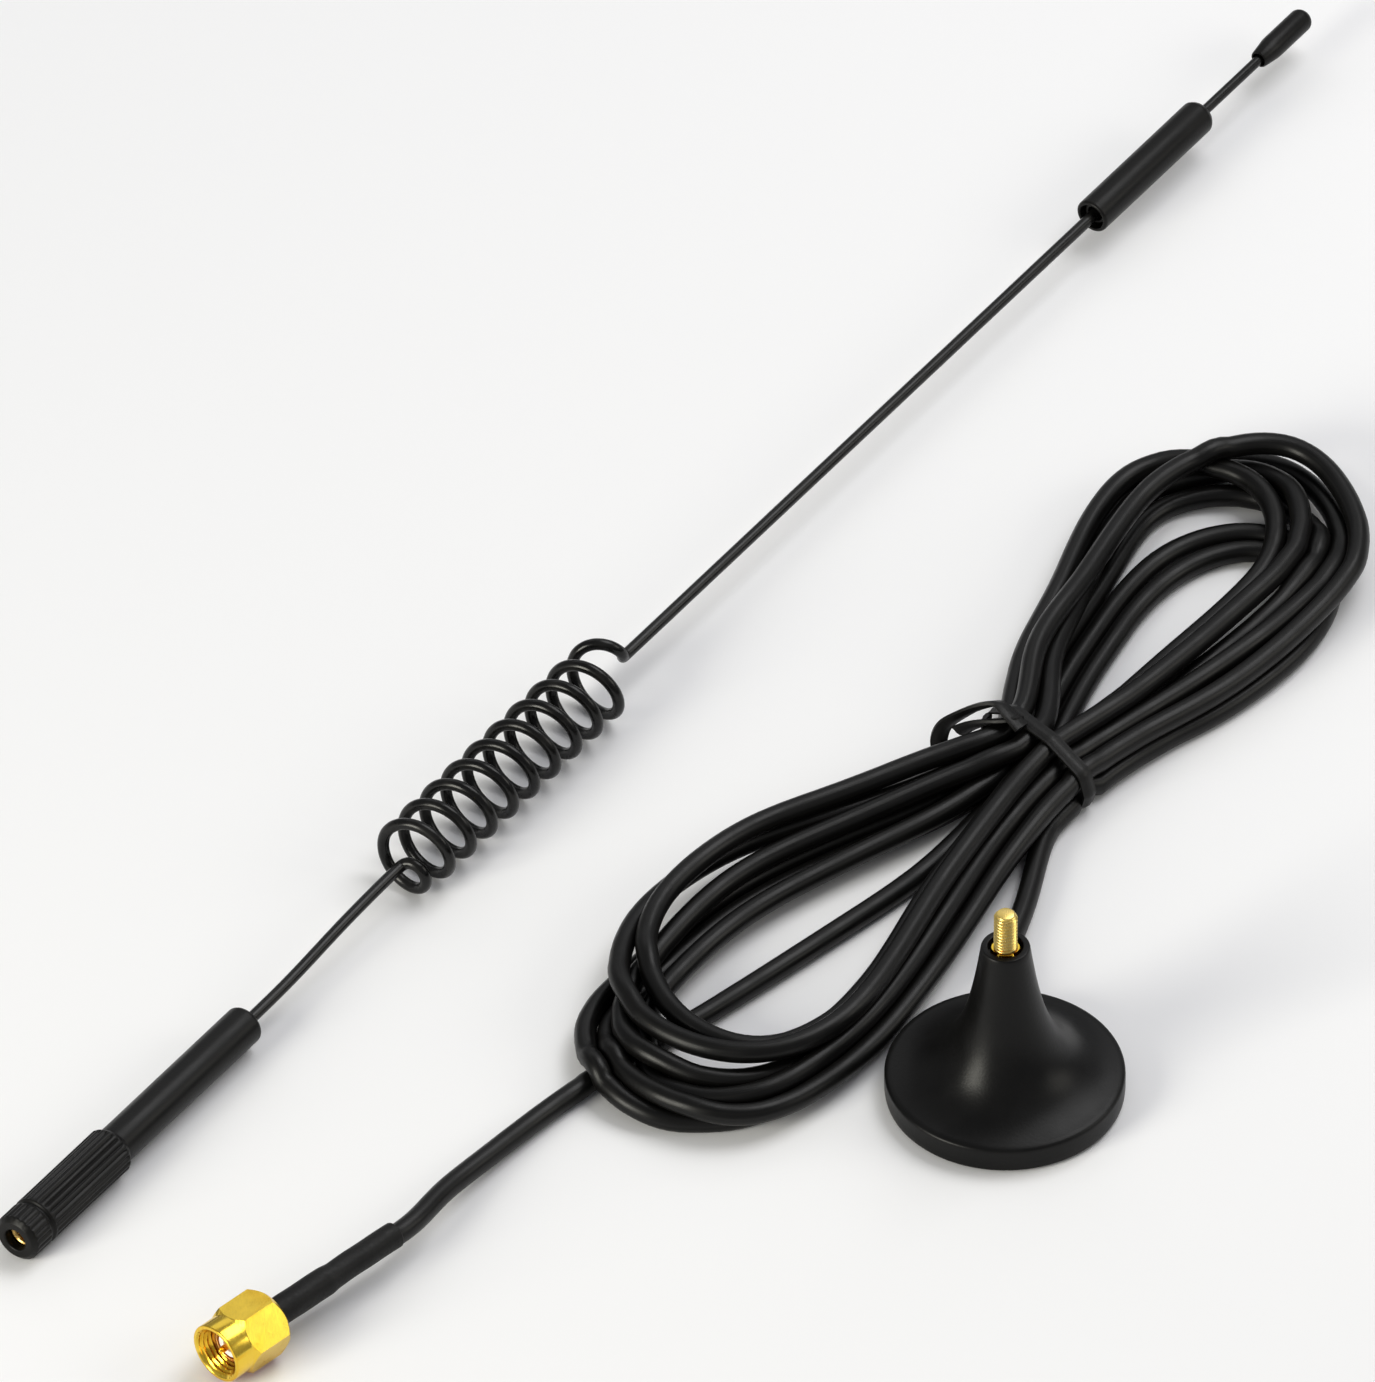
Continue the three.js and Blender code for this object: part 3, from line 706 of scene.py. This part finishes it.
def push_apart(x, i, j):
    for _ in range(5):
        gap = x[j] - x[i]
        distance = np.linalg.norm(gap, axis=1)
        hit = distance < CABLE_D
        a, b = i[hit], j[hit]
        push = gap[hit] * ((CABLE_D - distance[hit]) / np.maximum(distance[hit], 1e-6) * 0.4)[:, None]
        move, count = np.zeros_like(x), np.zeros(len(x))
        np.add.at(move, a, -push)
        np.add.at(move, b, push)
        np.add.at(count, a, 1)
        np.add.at(count, b, 1)
        x += move / np.sqrt(np.maximum(count, 1))[:, None]
        hold_in(x)


def straighten(x, target, stiffness):
    """Bending stiffness: each point moves to the line between its neighbours, less the bend as laid."""
    for reach, weight in stiffness:
        move = 0.5 * (x[: -2 * reach] + x[2 * reach :]) - x[reach:-reach]
        laid = 0.5 * (target[: -2 * reach, :2] + target[2 * reach :, :2]) - target[reach:-reach, :2]
        move[:, :2] -= laid
        x[reach:-reach] += move * weight


# How far apart the compared points are, and how strongly they are straightened.
EARLY_STIFFNESS = ((1, 0.25), (3, 0.16), (5, 0.10), (8, 0.05))
LATE_STIFFNESS = ((1, 0.3), (3, 0.25), (5, 0.2), (8, 0.1))
# Lengths of cable in millimetres: fixed in the plug, and held at the height or over the place
# where they were laid, first at the base and then at the plug.
IN_PLUG = 11
BASE_LEVEL, PLUG_LEVEL = 16, 54
BASE_LEAD, PLUG_LEAD = 26, 72
# How strongly a round pulls the cable back over the place where it was laid.
HANK_GRIP, LEAD_GRIP = 0.015, 0.2
SINK, LATE_SINK = 0.06, 0.016
LATE_FROM = 0.68


def settled_cable(rounds):
    """Lets the wound cable sink under gravity until its turns lie on each other and on the ground."""
    x = curve_through(cable_route())
    count = int(round(run_length(x)[-1] / STEP)) + 1
    x = smoothed(spaced(x, count), 3, STEP)
    target = x.copy()
    ends = np.r_[0:3, count - int(IN_PLUG / STEP) : count]
    level = np.r_[0 : int(BASE_LEVEL / STEP), count - int(PLUG_LEVEL / STEP) : count]
    grip = np.full(count, HANK_GRIP)
    grip[: int(BASE_LEAD / STEP)] = LEAD_GRIP
    grip[-int(PLUG_LEAD / STEP) :] = LEAD_GRIP
    for n in range(rounds):
        late = n > rounds * LATE_FROM
        if n % 24 == 0 and n < rounds * 0.9:
            target = spaced(target, count, x)
            x = spaced(x, count)
        if n % 6 == 0:
            i, j = close_pairs(x, CABLE_D + 1)
        x[:, 2] -= LATE_SINK if late else SINK
        x[:, :2] += (target[:, :2] - x[:, :2]) * (grip * (0.3 if late else 1))[:, None]
        x[level, 2] += (target[level, 2] - x[level, 2]) * 0.2
        if not late:
            offset = target[:, :2] - TIE_CENTRE
            held = (np.abs(offset @ ALONG_TIE) < 1.5) & (np.abs(offset @ ACROSS_TIE) < 10)
            x[held] += (target[held] - x[held]) * 0.1
        straighten(x, target, LATE_STIFFNESS if late else EARLY_STIFFNESS)
        push_apart(x, i, j)
        x[ends] = target[ends]
    return x


# ------ base
def thread(pitch, depth, start, end, groove=True):
    """A shape for turned(): a 60 degree helical thread that fades out at both ends."""

    def shape(angles, radius, height):
        fade = min(1, max(0, (height - start) / (0.6 * pitch)), max(0, (end - height) / (0.6 * pitch)))
        wave = np.abs(((height / pitch - angles / (2 * math.pi)) % 1) * 2 - 1)
        return radius - depth * fade * (wave if groove else -wave)

    return shape


def bezier(ends, count):
    a, b, c, d = (np.array(p, float) for p in ends)
    t = np.linspace(0, 1, count)[:, None]
    curve = (1 - t) ** 3 * a + 3 * t * (1 - t) ** 2 * b + 3 * t * t * (1 - t) * c + t**3 * d
    return [tuple(p) for p in curve]


def build_shell():
    outer = bezier([(14.6, RIM_TOP_Z + 0.4), (6.2, 5), (4.6, 13), (CONE_TOP_R, CONE_TOP_Z - 0.3)], 48)
    inner = bezier([(1.85, 19.3), (3.1, 12), (5, 4.2), (12.9, 2.7)], 24)
    rim = [(13.6, 0.25), (BASE_R - 0.12, 0.25), (BASE_R, 1.1), (BASE_R, RIM_TOP_Z + 0.12), outer[0]]
    rim = rounded(rim, 0.4, 4, False)
    recess_r, floor_z = 2.2, CONE_TOP_Z - 1.4
    top = [
        outer[-1], (CONE_TOP_R - 0.12, CONE_TOP_Z), (recess_r, CONE_TOP_Z), (recess_r, floor_z),
        (1.85, floor_z), inner[0],
    ]
    top = rounded(top, 0.16, 4, False)
    profile = [*rim[:-1], *outer[:-1], *top[:-1], *inner, (13.6, 2.3)]
    shell = turned("base_shell_bell", profile, UPRIGHT, "shell", 128)
    notch = turned("notch", [(0, 12.4), (1.55, 12.4), (1.55, 17), (0, 17)], RELIEF, "shell", 32)
    combine(shell, notch, "DIFFERENCE")
    finish_piece(shell, "base", "black_plastic", "base_shell")


def build_stud():
    neck = 1.1
    profile = [
        (0, 16.2), (0.6, 16.2), (0.6, 18.4), (STUD_R, 18.4), (STUD_R, 22.9), (neck, 23.1),
        (neck, 24.35), (STUD_R, 24.5), (STUD_R, STUD_TOP_Z - 0.5), (1.1, STUD_TOP_Z - 0.04),
        (1.0, STUD_TOP_Z), (0, STUD_TOP_Z),
    ]
    profile = dense(profile, 24.4, 29.9, 0.05, (1.2, 2), closed=False)
    grooves = thread(M3_PITCH, 0.3, 24.5, 29.9)
    stud = turned("stud_threaded", profile, UPRIGHT, "pale_gold", 64, grooves, 60)
    finish_piece(stud, "base", "gold_plate", "stud")


def hexagon(across_flats):
    """A shape for turned(): the radius of a hexagon, or the profile's where that is less."""
    half = across_flats / 2

    def shape(angles, radius, height):
        from_flat = (angles + math.pi / 6) % (math.pi / 3) - math.pi / 6
        return np.minimum(half / np.cos(from_flat), radius)

    return shape


def build_collar():
    bottom, top = CONE_TOP_Z - 0.9, CONE_TOP_Z - 0.2
    hole, outer, notch_r, notch_half_angle = 1.4, 1.9, 1.52, 0.17

    def shape(angles, radius, height):
        r = hexagon(3.35)(angles + math.pi / 6, radius, height)
        notch = np.abs(angles % (math.pi / 2) - math.pi / 4) < notch_half_angle
        return np.where(notch & (radius > 1.5) & (height > bottom + 0.1), notch_r, r)

    profile = [
        (hole, bottom), (outer, bottom), (outer, bottom + 0.2), (outer, top - 0.15),
        (outer - 0.15, top), (hole, top),
    ]
    collar = turned("stud_collar_notched", profile, UPRIGHT, "gold", 144, shape, 30)
    finish_piece(collar, "base", "gold_plate", "stud_collar")


def build_relief():
    """A tapered sleeve with rings moulded round it so that it bends evenly."""
    profile = [(0, 12.9), (1.3, 12.9), (1.3, 15.35), (1.75, 15.35), (1.75, 16.4)]
    rings = 5
    for k in range(rings):
        start = 16.6 + 1.15 * k
        r = 1.72 - 0.035 * k
        profile += [(r, start), (r, start + 0.6), (r - 0.24, start + 0.72), (r - 0.24, start + 1.03)]
    profile += [(1.5, 22.5), (1.46, RELIEF_END), (0, RELIEF_END)]
    relief = turned("cable_relief_ribbed", rounded(profile, 0.1, 2, False), RELIEF, "relief", 48)
    finish_piece(relief, "base", "black_rubber", "cable_strain_relief")


# ------ whip
FLUTES = 22


def flutes(angles, radius, height):
    """Ridges along the grip and, finer, along the end ring, with narrow grooves between them."""
    groove = 0.5 + 0.5 * np.cos(FLUTES * angles)
    narrow = groove**2.2
    grip = min(1, max(0, (height - 4.5) / 0.5), max(0, (20.1 - height) / 0.4))
    ring = min(1, max(0, (height - 0.5) / 0.4), max(0, (3.55 - height) / 0.3))
    outside = 1 if radius > FERRULE_R - 0.14 else 0
    return radius - outside * narrow * (0.24 * grip + 0.15 * ring)


def build_ferrule():
    outer = [
        (1.5, 0.16), (1.65, 0.0), (2.55, 0.0), (FERRULE_R, 0.62), (FERRULE_R, 3.5), (2.92, 3.74),
        (2.92, 4.12), (FERRULE_R, 4.38), (FERRULE_R, 20), (BARREL_R, 20.8),
        (BARREL_R, FERRULE_LENGTH), (1.05, FERRULE_LENGTH),
    ]
    inner = [(1.05, 15.2), (2.4, 15.2), (2.4, 1.2), (1.5, 1.2)]
    profile = softened_end(rounded([*outer, *inner], 0.14, 3))
    profile = dense(profile, 0.4, 20.3, 0.25, (FERRULE_R - 0.13, 4))
    ferrule = turned("whip_ferrule_fluted", profile, WHIP, "ferrule", FLUTES * 12, flutes, 42)
    finish_piece(ferrule, "whip", "black_plastic", "whip_ferrule")
    insert = [
        (0, 9.5), (1.25, 9.5), (1.25, 1.9), (1.5, 1.5), (2.1, 1.5), (2.1, 14.9), (1.05, 14.9),
        (1.05, 11), (0, 11),
    ]
    insert = dense(insert, 1.9, 9.4, 0.06, (1.2, 1.3), closed=False)
    bore = thread(M3_PITCH, 0.22, 1.9, 9.4, groove=False)

    def bore_only(angles, radius, height):
        in_bore = radius < 1.3 and height < 9.45
        return bore(angles, radius, height) if in_bore else np.full(len(angles), float(radius))

    brass = turned("whip_insert_threaded", insert, WHIP, "brass", 48, bore_only, 60)
    finish_piece(brass, "whip", "brass", "thread_insert")


def softened_end(profile):
    """Rounds the barrel's outer end more than the other corners."""
    reach = 0.75
    out = []
    for r, z in profile:
        past = z - (FERRULE_LENGTH - reach)
        if past > 0 and r > BARREL_R - reach:
            depth = math.sqrt(max(0, reach**2 - past**2))
            r = min(r, BARREL_R - reach + depth)
        out.append((r, z))
    extra = [(BARREL_R, FERRULE_LENGTH - reach)]
    for k in range(1, 7):
        t = math.pi / 2 * k / 7
        extra.append((BARREL_R - reach + reach * math.cos(t), FERRULE_LENGTH - reach + reach * math.sin(t)))
    body = [p for p in out if not (p[1] > FERRULE_LENGTH - reach and p[0] > BARREL_R - reach)]
    place = next(k for k, p in enumerate(body) if p[1] > FERRULE_LENGTH - 0.2 and p[0] <= BARREL_R - reach)
    return body[:place] + extra + body[place:]


def coil_point(turns):
    """The coil winds right-handed about the whip's axis, and each end spirals in to the axis."""
    first_turn = 0.75
    last_turn = first_turn + COIL_FULL_TURNS
    radius = COIL_R * math.sin(math.pi / 2 * min(1, turns / 0.4))
    along = COIL_START + (COIL_FIRST_TURN - COIL_START) * turns / first_turn
    if turns > first_turn:
        along = COIL_FIRST_TURN + COIL_PITCH * (turns - first_turn)
    if turns > last_turn:
        part = min(1, (turns - last_turn) / 0.25)
        winding_end = COIL_FIRST_TURN + COIL_PITCH * COIL_FULL_TURNS
        radius = COIL_R * math.cos(math.pi / 2 * part) ** 0.7
        along = winding_end + (COIL_END - winding_end) * part
    angle = COIL_PHASE + 2 * math.pi * turns
    return (along, radius * math.cos(angle), COIL_AXIS_Z + radius * math.sin(angle))


def build_wire():
    lower = curve_through(
        [
            (11.4, 0, FERRULE_R), (30, 0, FERRULE_R), (50, 0, FERRULE_R), (58, 0, FERRULE_R + 0.25),
            (70, 0, COIL_AXIS_Z - 0.5), (78, 0, COIL_AXIS_Z - 0.05), (COIL_START - 0.2, 0, COIL_AXIS_Z),
        ]
    )
    per_turn = 64
    coil = [coil_point(k / per_turn) for k in range(10 * per_turn + 1)]
    line = np.vstack([lower, coil, [(COIL_END + 0.3, 0, COIL_AXIS_Z), (243.6, 0, COIL_AXIS_Z)]])
    line = line[np.r_[True, np.linalg.norm(np.diff(line, axis=0), axis=1) > 1e-4]]
    step = 0.3
    line = spaced(line, int(run_length(line)[-1] / step))
    line = smoothed(line, 0.6, step)
    keep = np.r_[True, bends(line), True]
    route = to_world(line[keep], frame_matrix((*WHIP_FOOT, 0), WHIP_HEADING))
    wire = swept("whip_wire_coiled", route, circle(WIRE_R, 20), "wire")
    finish_piece(wire, "whip", "black_coating", "whip_wire")


def bends(line):
    """True for points that a straight run can't do without, and for every so many of the others."""
    straight, spacing = 0.9999995, 12
    a, b = line[1:-1] - line[:-2], line[2:] - line[1:-1]
    cosine = (a * b).sum(1) / np.linalg.norm(a, axis=1) / np.linalg.norm(b, axis=1)
    return (cosine < straight) | (np.arange(len(cosine)) % spacing == 0)


def build_upper_parts():
    sleeve = [
        (1.75, SLEEVE_START), (2.1, SLEEVE_START), (2.3, SLEEVE_START + 0.25),
        (2.3, SLEEVE_END - 0.7), (1.85, SLEEVE_END), (0.95, SLEEVE_END),
        (0.95, SLEEVE_END - 1.5), (1.75, SLEEVE_END - 1.5),
    ]
    obj = turned("joint_sleeve_moulded", rounded(sleeve, 0.2, 4), ROD, "ferrule", 64)
    finish_piece(obj, "whip", "black_plastic", "joint_sleeve")
    start, end = SLEEVE_START + 0.8, SLEEVE_START + 5.4
    bushing = rounded([(1.05, start), (1.45, start), (1.45, end), (1.05, end)], 0.12, 3)
    obj = turned("sleeve_bushing_moulded", bushing, ROD, "ferrule", 48)
    finish_piece(obj, "whip", "black_plastic", "sleeve_bushing")
    rod = [(0, 245.4), (0.65, 245.4), (0.65, 273.2), (0, 273.2)]
    obj = turned("upper_rod_coated", dense(rod, 245.5, 273.1, 1, closed=False), ROD, "wire", 24)
    finish_piece(obj, "whip", "black_coating", "upper_rod")
    tip_r, rise = 1.55, 1.3
    quarter = np.linspace(0, math.pi / 2, 9)[:-1]
    dome = [(tip_r * math.cos(t), TIP_END - rise + rise * math.sin(t)) for t in quarter]
    tip = [
        (0, 273.6), (0.95, 273.6), (0.95, TIP_START), (1.1, TIP_START), (1.18, TIP_START + 0.15),
        (1.52, 270.45), (tip_r, 270.9), *dome, (0, TIP_END),
    ]
    obj = turned("tip_cap_moulded", tip, ROD, "ferrule", 48)
    finish_piece(obj, "whip", "black_plastic", "tip_cap")


# ------ plug
def build_nut():
    """A hexagonal coupling nut: corners turned off at both ends, a round nose and a threaded bore."""
    nose_r, nose_end, corner_r = 3.95, 2.7, NUT_FLATS / math.sqrt(3)
    blank = [(0, nose_end - 0.3), (9, nose_end - 0.3), (9, NUT_LENGTH), (0, NUT_LENGTH)]
    turn, origin = PLUG
    spin = np.array(Matrix.Rotation(NUT_TURN, 3, "X"))

    def six_corners(angles, radius, height):
        return np.full(6, corner_r)

    prism = turned("coupling_nut_hexagonal", blank, (turn @ spin, origin), "gold", 6, six_corners)
    past, chamfer = corner_r + 0.2, 1.05
    cone = [
        (0, 2), (nose_r - 0.35, 2), (nose_r - 0.35, nose_end - 0.05), (nose_r - 0.1, nose_end),
        (past, nose_end + chamfer), (past, NUT_LENGTH - chamfer), (nose_r - 0.1, NUT_LENGTH),
        (nose_r - 0.2, NUT_LENGTH + 1), (0, NUT_LENGTH + 1),
    ]
    combine(prism, turned("cone", cone, PLUG, "gold", 96), "INTERSECT")
    nose = rounded([(0, 0), (nose_r, 0), (nose_r, nose_end + 0.4), (0, nose_end + 0.4)], 0.22, 4, False)
    combine(prism, turned("nose", nose, PLUG, "gold", 96), "UNION")
    thread_end = 6.4
    bore = [
        (0, -1), (NUT_BORE_R + 0.3, -1), (NUT_BORE_R + 0.3, 0), (NUT_BORE_R + 0.05, 0.25),
        (NUT_BORE_R, thread_end), (3.45, 6.5), (3.45, 8.1), (2.5, 8.1),
        (2.5, NUT_LENGTH + 1), (0, NUT_LENGTH + 1),
    ]
    pitch = 25.4 / 36
    bore = dense(bore, 0.25, thread_end, 0.09, (3.1, 3.3), closed=False)
    ridges = thread(pitch, -0.36, 0.2, thread_end, groove=False)
    cutter = turned("bore", bore, PLUG, "gold", 72, ridges, 70)
    combine(prism, cutter, "DIFFERENCE")
    finish_piece(prism, "coupling_nut", "gold_plate", "coupling_nut")


def build_plug():
    build_nut()
    barrel = [
        (1.95, 2.1), (2.35, 2.1), (2.35, 5.6), (2.7, 5.6), (2.7, 7.1), (2.15, 7.1), (2.15, 9.9),
        (0.95, 9.9), (0.95, 7.6), (1.95, 7.6),
    ]
    body = turned("plug_body_turned", rounded(barrel, 0.1, 3), PLUG, "inner_gold", 64)
    finish_piece(body, "base", "gold_plate", "connector_body")
    core = [(0.9, 2.2), (1.7, 2.2), (1.7, 7.3), (0.9, 7.3)]
    dielectric = turned("plug_dielectric_turned", rounded(core, 0.08, 3), PLUG, "ptfe", 48)
    finish_piece(dielectric, "base", "white_dielectric", "dielectric")
    pin = [
        (0, 0.6), (0.16, 0.63), (0.28, 0.8), (0.42, 1.2), (0.45, 1.4), (0.45, 2.2), (0.62, 2.3),
        (0.62, 9), (0, 9),
    ]
    contact = turned("plug_pin_turned", rounded(pin, 0.05, 2, False), PLUG, "gold", 32)
    finish_piece(contact, "base", "gold_plate", "centre_pin")
    return [body, dielectric, contact, build_boot()]


def build_boot():
    """Heat-shrink sleeve, drawn in over the crimp and past its end, with a cut end and faint waves."""
    ferrule_r, cable_r, thickness = 1.55, 1.42, 0.3
    profile = [
        (ferrule_r, BOOT_START), (1.9, BOOT_START + 0.05), (1.9, BOOT_STEP - 0.8),
        (cable_r + thickness, BOOT_STEP + 0.5), (cable_r + thickness, BOOT_END),
        (cable_r, BOOT_END), (cable_r, BOOT_STEP), (ferrule_r, BOOT_STEP),
    ]
    profile = rounded(profile, 0.3, 5)
    profile = dense(profile, BOOT_START, BOOT_END, 0.5, (1.65, 2))

    def shape(angles, radius, height):
        if radius < 1.62:
            return np.full(len(angles), float(radius))
        wave = 0.022 * np.sin(3 * angles + 0.5 * height) + 0.018 * np.sin(1.1 * height + 2 * np.cos(angles))
        return radius + wave - 0.02

    boot = turned("plug_boot_shrunk", profile, PLUG, "boot", 48, shape, 45)
    return finish_piece(boot, "base", "black_rubber", "heat_shrink_boot")


# ------ twist tie
FARTHEST_ACROSS = 12


def tie_sections(x):
    """Where the cable's strands cross the tie's plane, as (across, height)."""
    offset = x[:, :2] - TIE_CENTRE
    along, across = offset @ ALONG_TIE, offset @ ACROSS_TIE
    found = []
    for k in range(len(x) - 1):
        if along[k] * along[k + 1] <= 0 and abs(across[k]) < FARTHEST_ACROSS:
            t = along[k] / (along[k] - along[k + 1])
            found.append((across[k] + (across[k + 1] - across[k]) * t, x[k, 2] + (x[k + 1, 2] - x[k, 2]) * t))
    return found


def convex_hull(points):
    def turns_left(a, b, c):
        return (b[0] - a[0]) * (c[1] - a[1]) > (b[1] - a[1]) * (c[0] - a[0])

    points = sorted(points)
    halves = []
    for order in (points, points[::-1]):
        half = []
        for p in order:
            while len(half) > 1 and not turns_left(half[-2], half[-1], p):
                half.pop()
            half.append(p)
        halves += half[:-1]
    return halves


def tie_to_world(along, across, height):
    x, y = TIE_CENTRE + ALONG_TIE * along + ACROSS_TIE * across
    return (x, y, height)


# The strip's section as (side in half widths, up in mm), with a rib over its wire.
STRIP = [
    (-1, -0.16), (-0.72, -0.3), (0.72, -0.3), (1, -0.16), (1, 0.1), (0.62, 0.16), (0.3, 0.3),
    (-0.3, 0.3), (-0.62, 0.16), (-1, 0.1),
]
# Where the loop stands off the bundle, as (across, height).
SLACK = [(8.7, 3.2), (8.3, 1.4), (-8.2, 6.6)]


def build_tie(x):
    """A flat strip with a wire rib, pulled round the bundle, and its twisted ends beside it."""
    reach = CABLE_R + TIE_THICKNESS / 2
    around = np.linspace(0, 2 * math.pi, 48, endpoint=False)
    rim = list(SLACK)
    for across, height in tie_sections(x):
        rim += [(across + reach * math.cos(t), height + reach * math.sin(t)) for t in around]
    hull = np.array(convex_hull(rim))
    loop = np.vstack([hull, hull[:1]])
    at = run_length(loop)
    wanted = np.linspace(0, at[-1], 161)
    loop = np.stack([np.interp(wanted, at, loop[:, k]) for k in range(2)], 1)
    start = int(np.argmin(loop[:-1, 0] - 0.9 * loop[:-1, 1]))
    loop = np.roll(loop[:-1], -start, axis=0)
    loop = np.vstack([loop, loop[:1]])
    bow, lead = 0.9, 0.8
    skew = np.sin(np.linspace(0, math.pi, len(loop))) * bow - np.linspace(-lead, lead, len(loop))
    line = np.array([tie_to_world(-s, a, h) for s, (a, h) in zip(skew, loop)])
    line[:, 2] = np.maximum(line[:, 2], TIE_THICKNESS / 2 + 0.02)
    bundle_middle_z = 4.3
    outward = line - np.array([tie_to_world(0, loop[:, 0].mean(), bundle_middle_z)])
    tangent = np.gradient(line, axis=0)
    tangent /= np.linalg.norm(tangent, axis=1)[:, None]
    out = outward - tangent * (outward * tangent).sum(1)[:, None]
    out /= np.linalg.norm(out, axis=1)[:, None]
    side = np.cross(out, tangent)
    section = [(s * TIE_WIDTH / 2, u) for s, u in STRIP]
    band = swept("twist_tie_band", line, section, "tie", (tangent, side, out))
    finish_piece(band, "base", "black_rubber", "twist_tie")
    return [band, *build_tails()]


# The strip's two ends leave the knot side by side: one bends down, one lies along the bundle.
TAIL_PATHS = {
    "twist_tie_end_a": [
        (2, 57.4, 8.9), (0.4, 59, 9.8), (-0.8, 60.6, 10), (-2.6, 61.3, 9.2), (-5.4, 61.4, 7.6),
        (-7.6, 61.5, 5.6), (-8.3, 61.3, 3.4), (-8.1, 60.7, 1.6),
    ],
    "twist_tie_end_b": [
        (1.5, 60.3, 8.2), (0.6, 58.7, 9.3), (-0.7, 58.9, 8.8), (-2.6, 59.6, 7.8),
        (-4.6, 60.2, 6.6), (-5.9, 60.6, 5.4),
    ],
}
# How far an end's section has rolled at its start and at its tip, in radians.
TAIL_ROLL = (0.1, 1.25)
TAIL_HALF_WIDTH = 1.1
TAIL_THICKENING = 1.3


def build_tails():
    tails = []
    for name, points in TAIL_PATHS.items():
        path = spaced(curve_through(points, 16), 80)
        along, side, up = section_frames(path)
        roll = np.linspace(*TAIL_ROLL, len(path))[:, None]
        frames = (along, np.cos(roll) * side + np.sin(roll) * up, np.cos(roll) * up - np.sin(roll) * side)
        section = [(TAIL_HALF_WIDTH * s, TAIL_THICKENING * u) for s, u in STRIP]
        obj = swept(name, path, section, "tie", frames)
        tails.append(finish_piece(obj, "base", "black_rubber"))
    return tails


# ------ carried-over CAD nodes
CARRIED = {
    "bottom_film": "film",
    "ring_magnet": "magnet",
    "ground_plate": "steel",
    "feed_wire": "copper",
    "ground_braid": "copper",
    "rod_crimp": "brass",
    "crimp_ferrule": "gold",
    "snap_ring": "steel",
    "gasket": "silicone",
}


def finish_carried_nodes():
    for name, finish in CARRIED.items():
        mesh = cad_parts[name].data
        mesh.materials.clear()
        mesh.materials.append(FINISHES[finish])


# ------ the scene
FINISHES = make_materials()
add_camera()
add_studio()

ROUNDS, QUICK_ROUNDS = 900, 160
cable_line = settled_cable(ROUNDS)
cable = swept("cable_jacketed", cable_line, circle(CABLE_R, 18), "jacket")
finish_piece(cable, "base", "cable_jacket", "cable_lead_base", "cable_hank", "cable_lead_connector")
plug_pieces = build_plug()
tie_pieces = build_tie(cable_line)
build_shell()
build_stud()
build_collar()
build_relief()
build_ferrule()
build_wire()
build_upper_parts()
finish_carried_nodes()
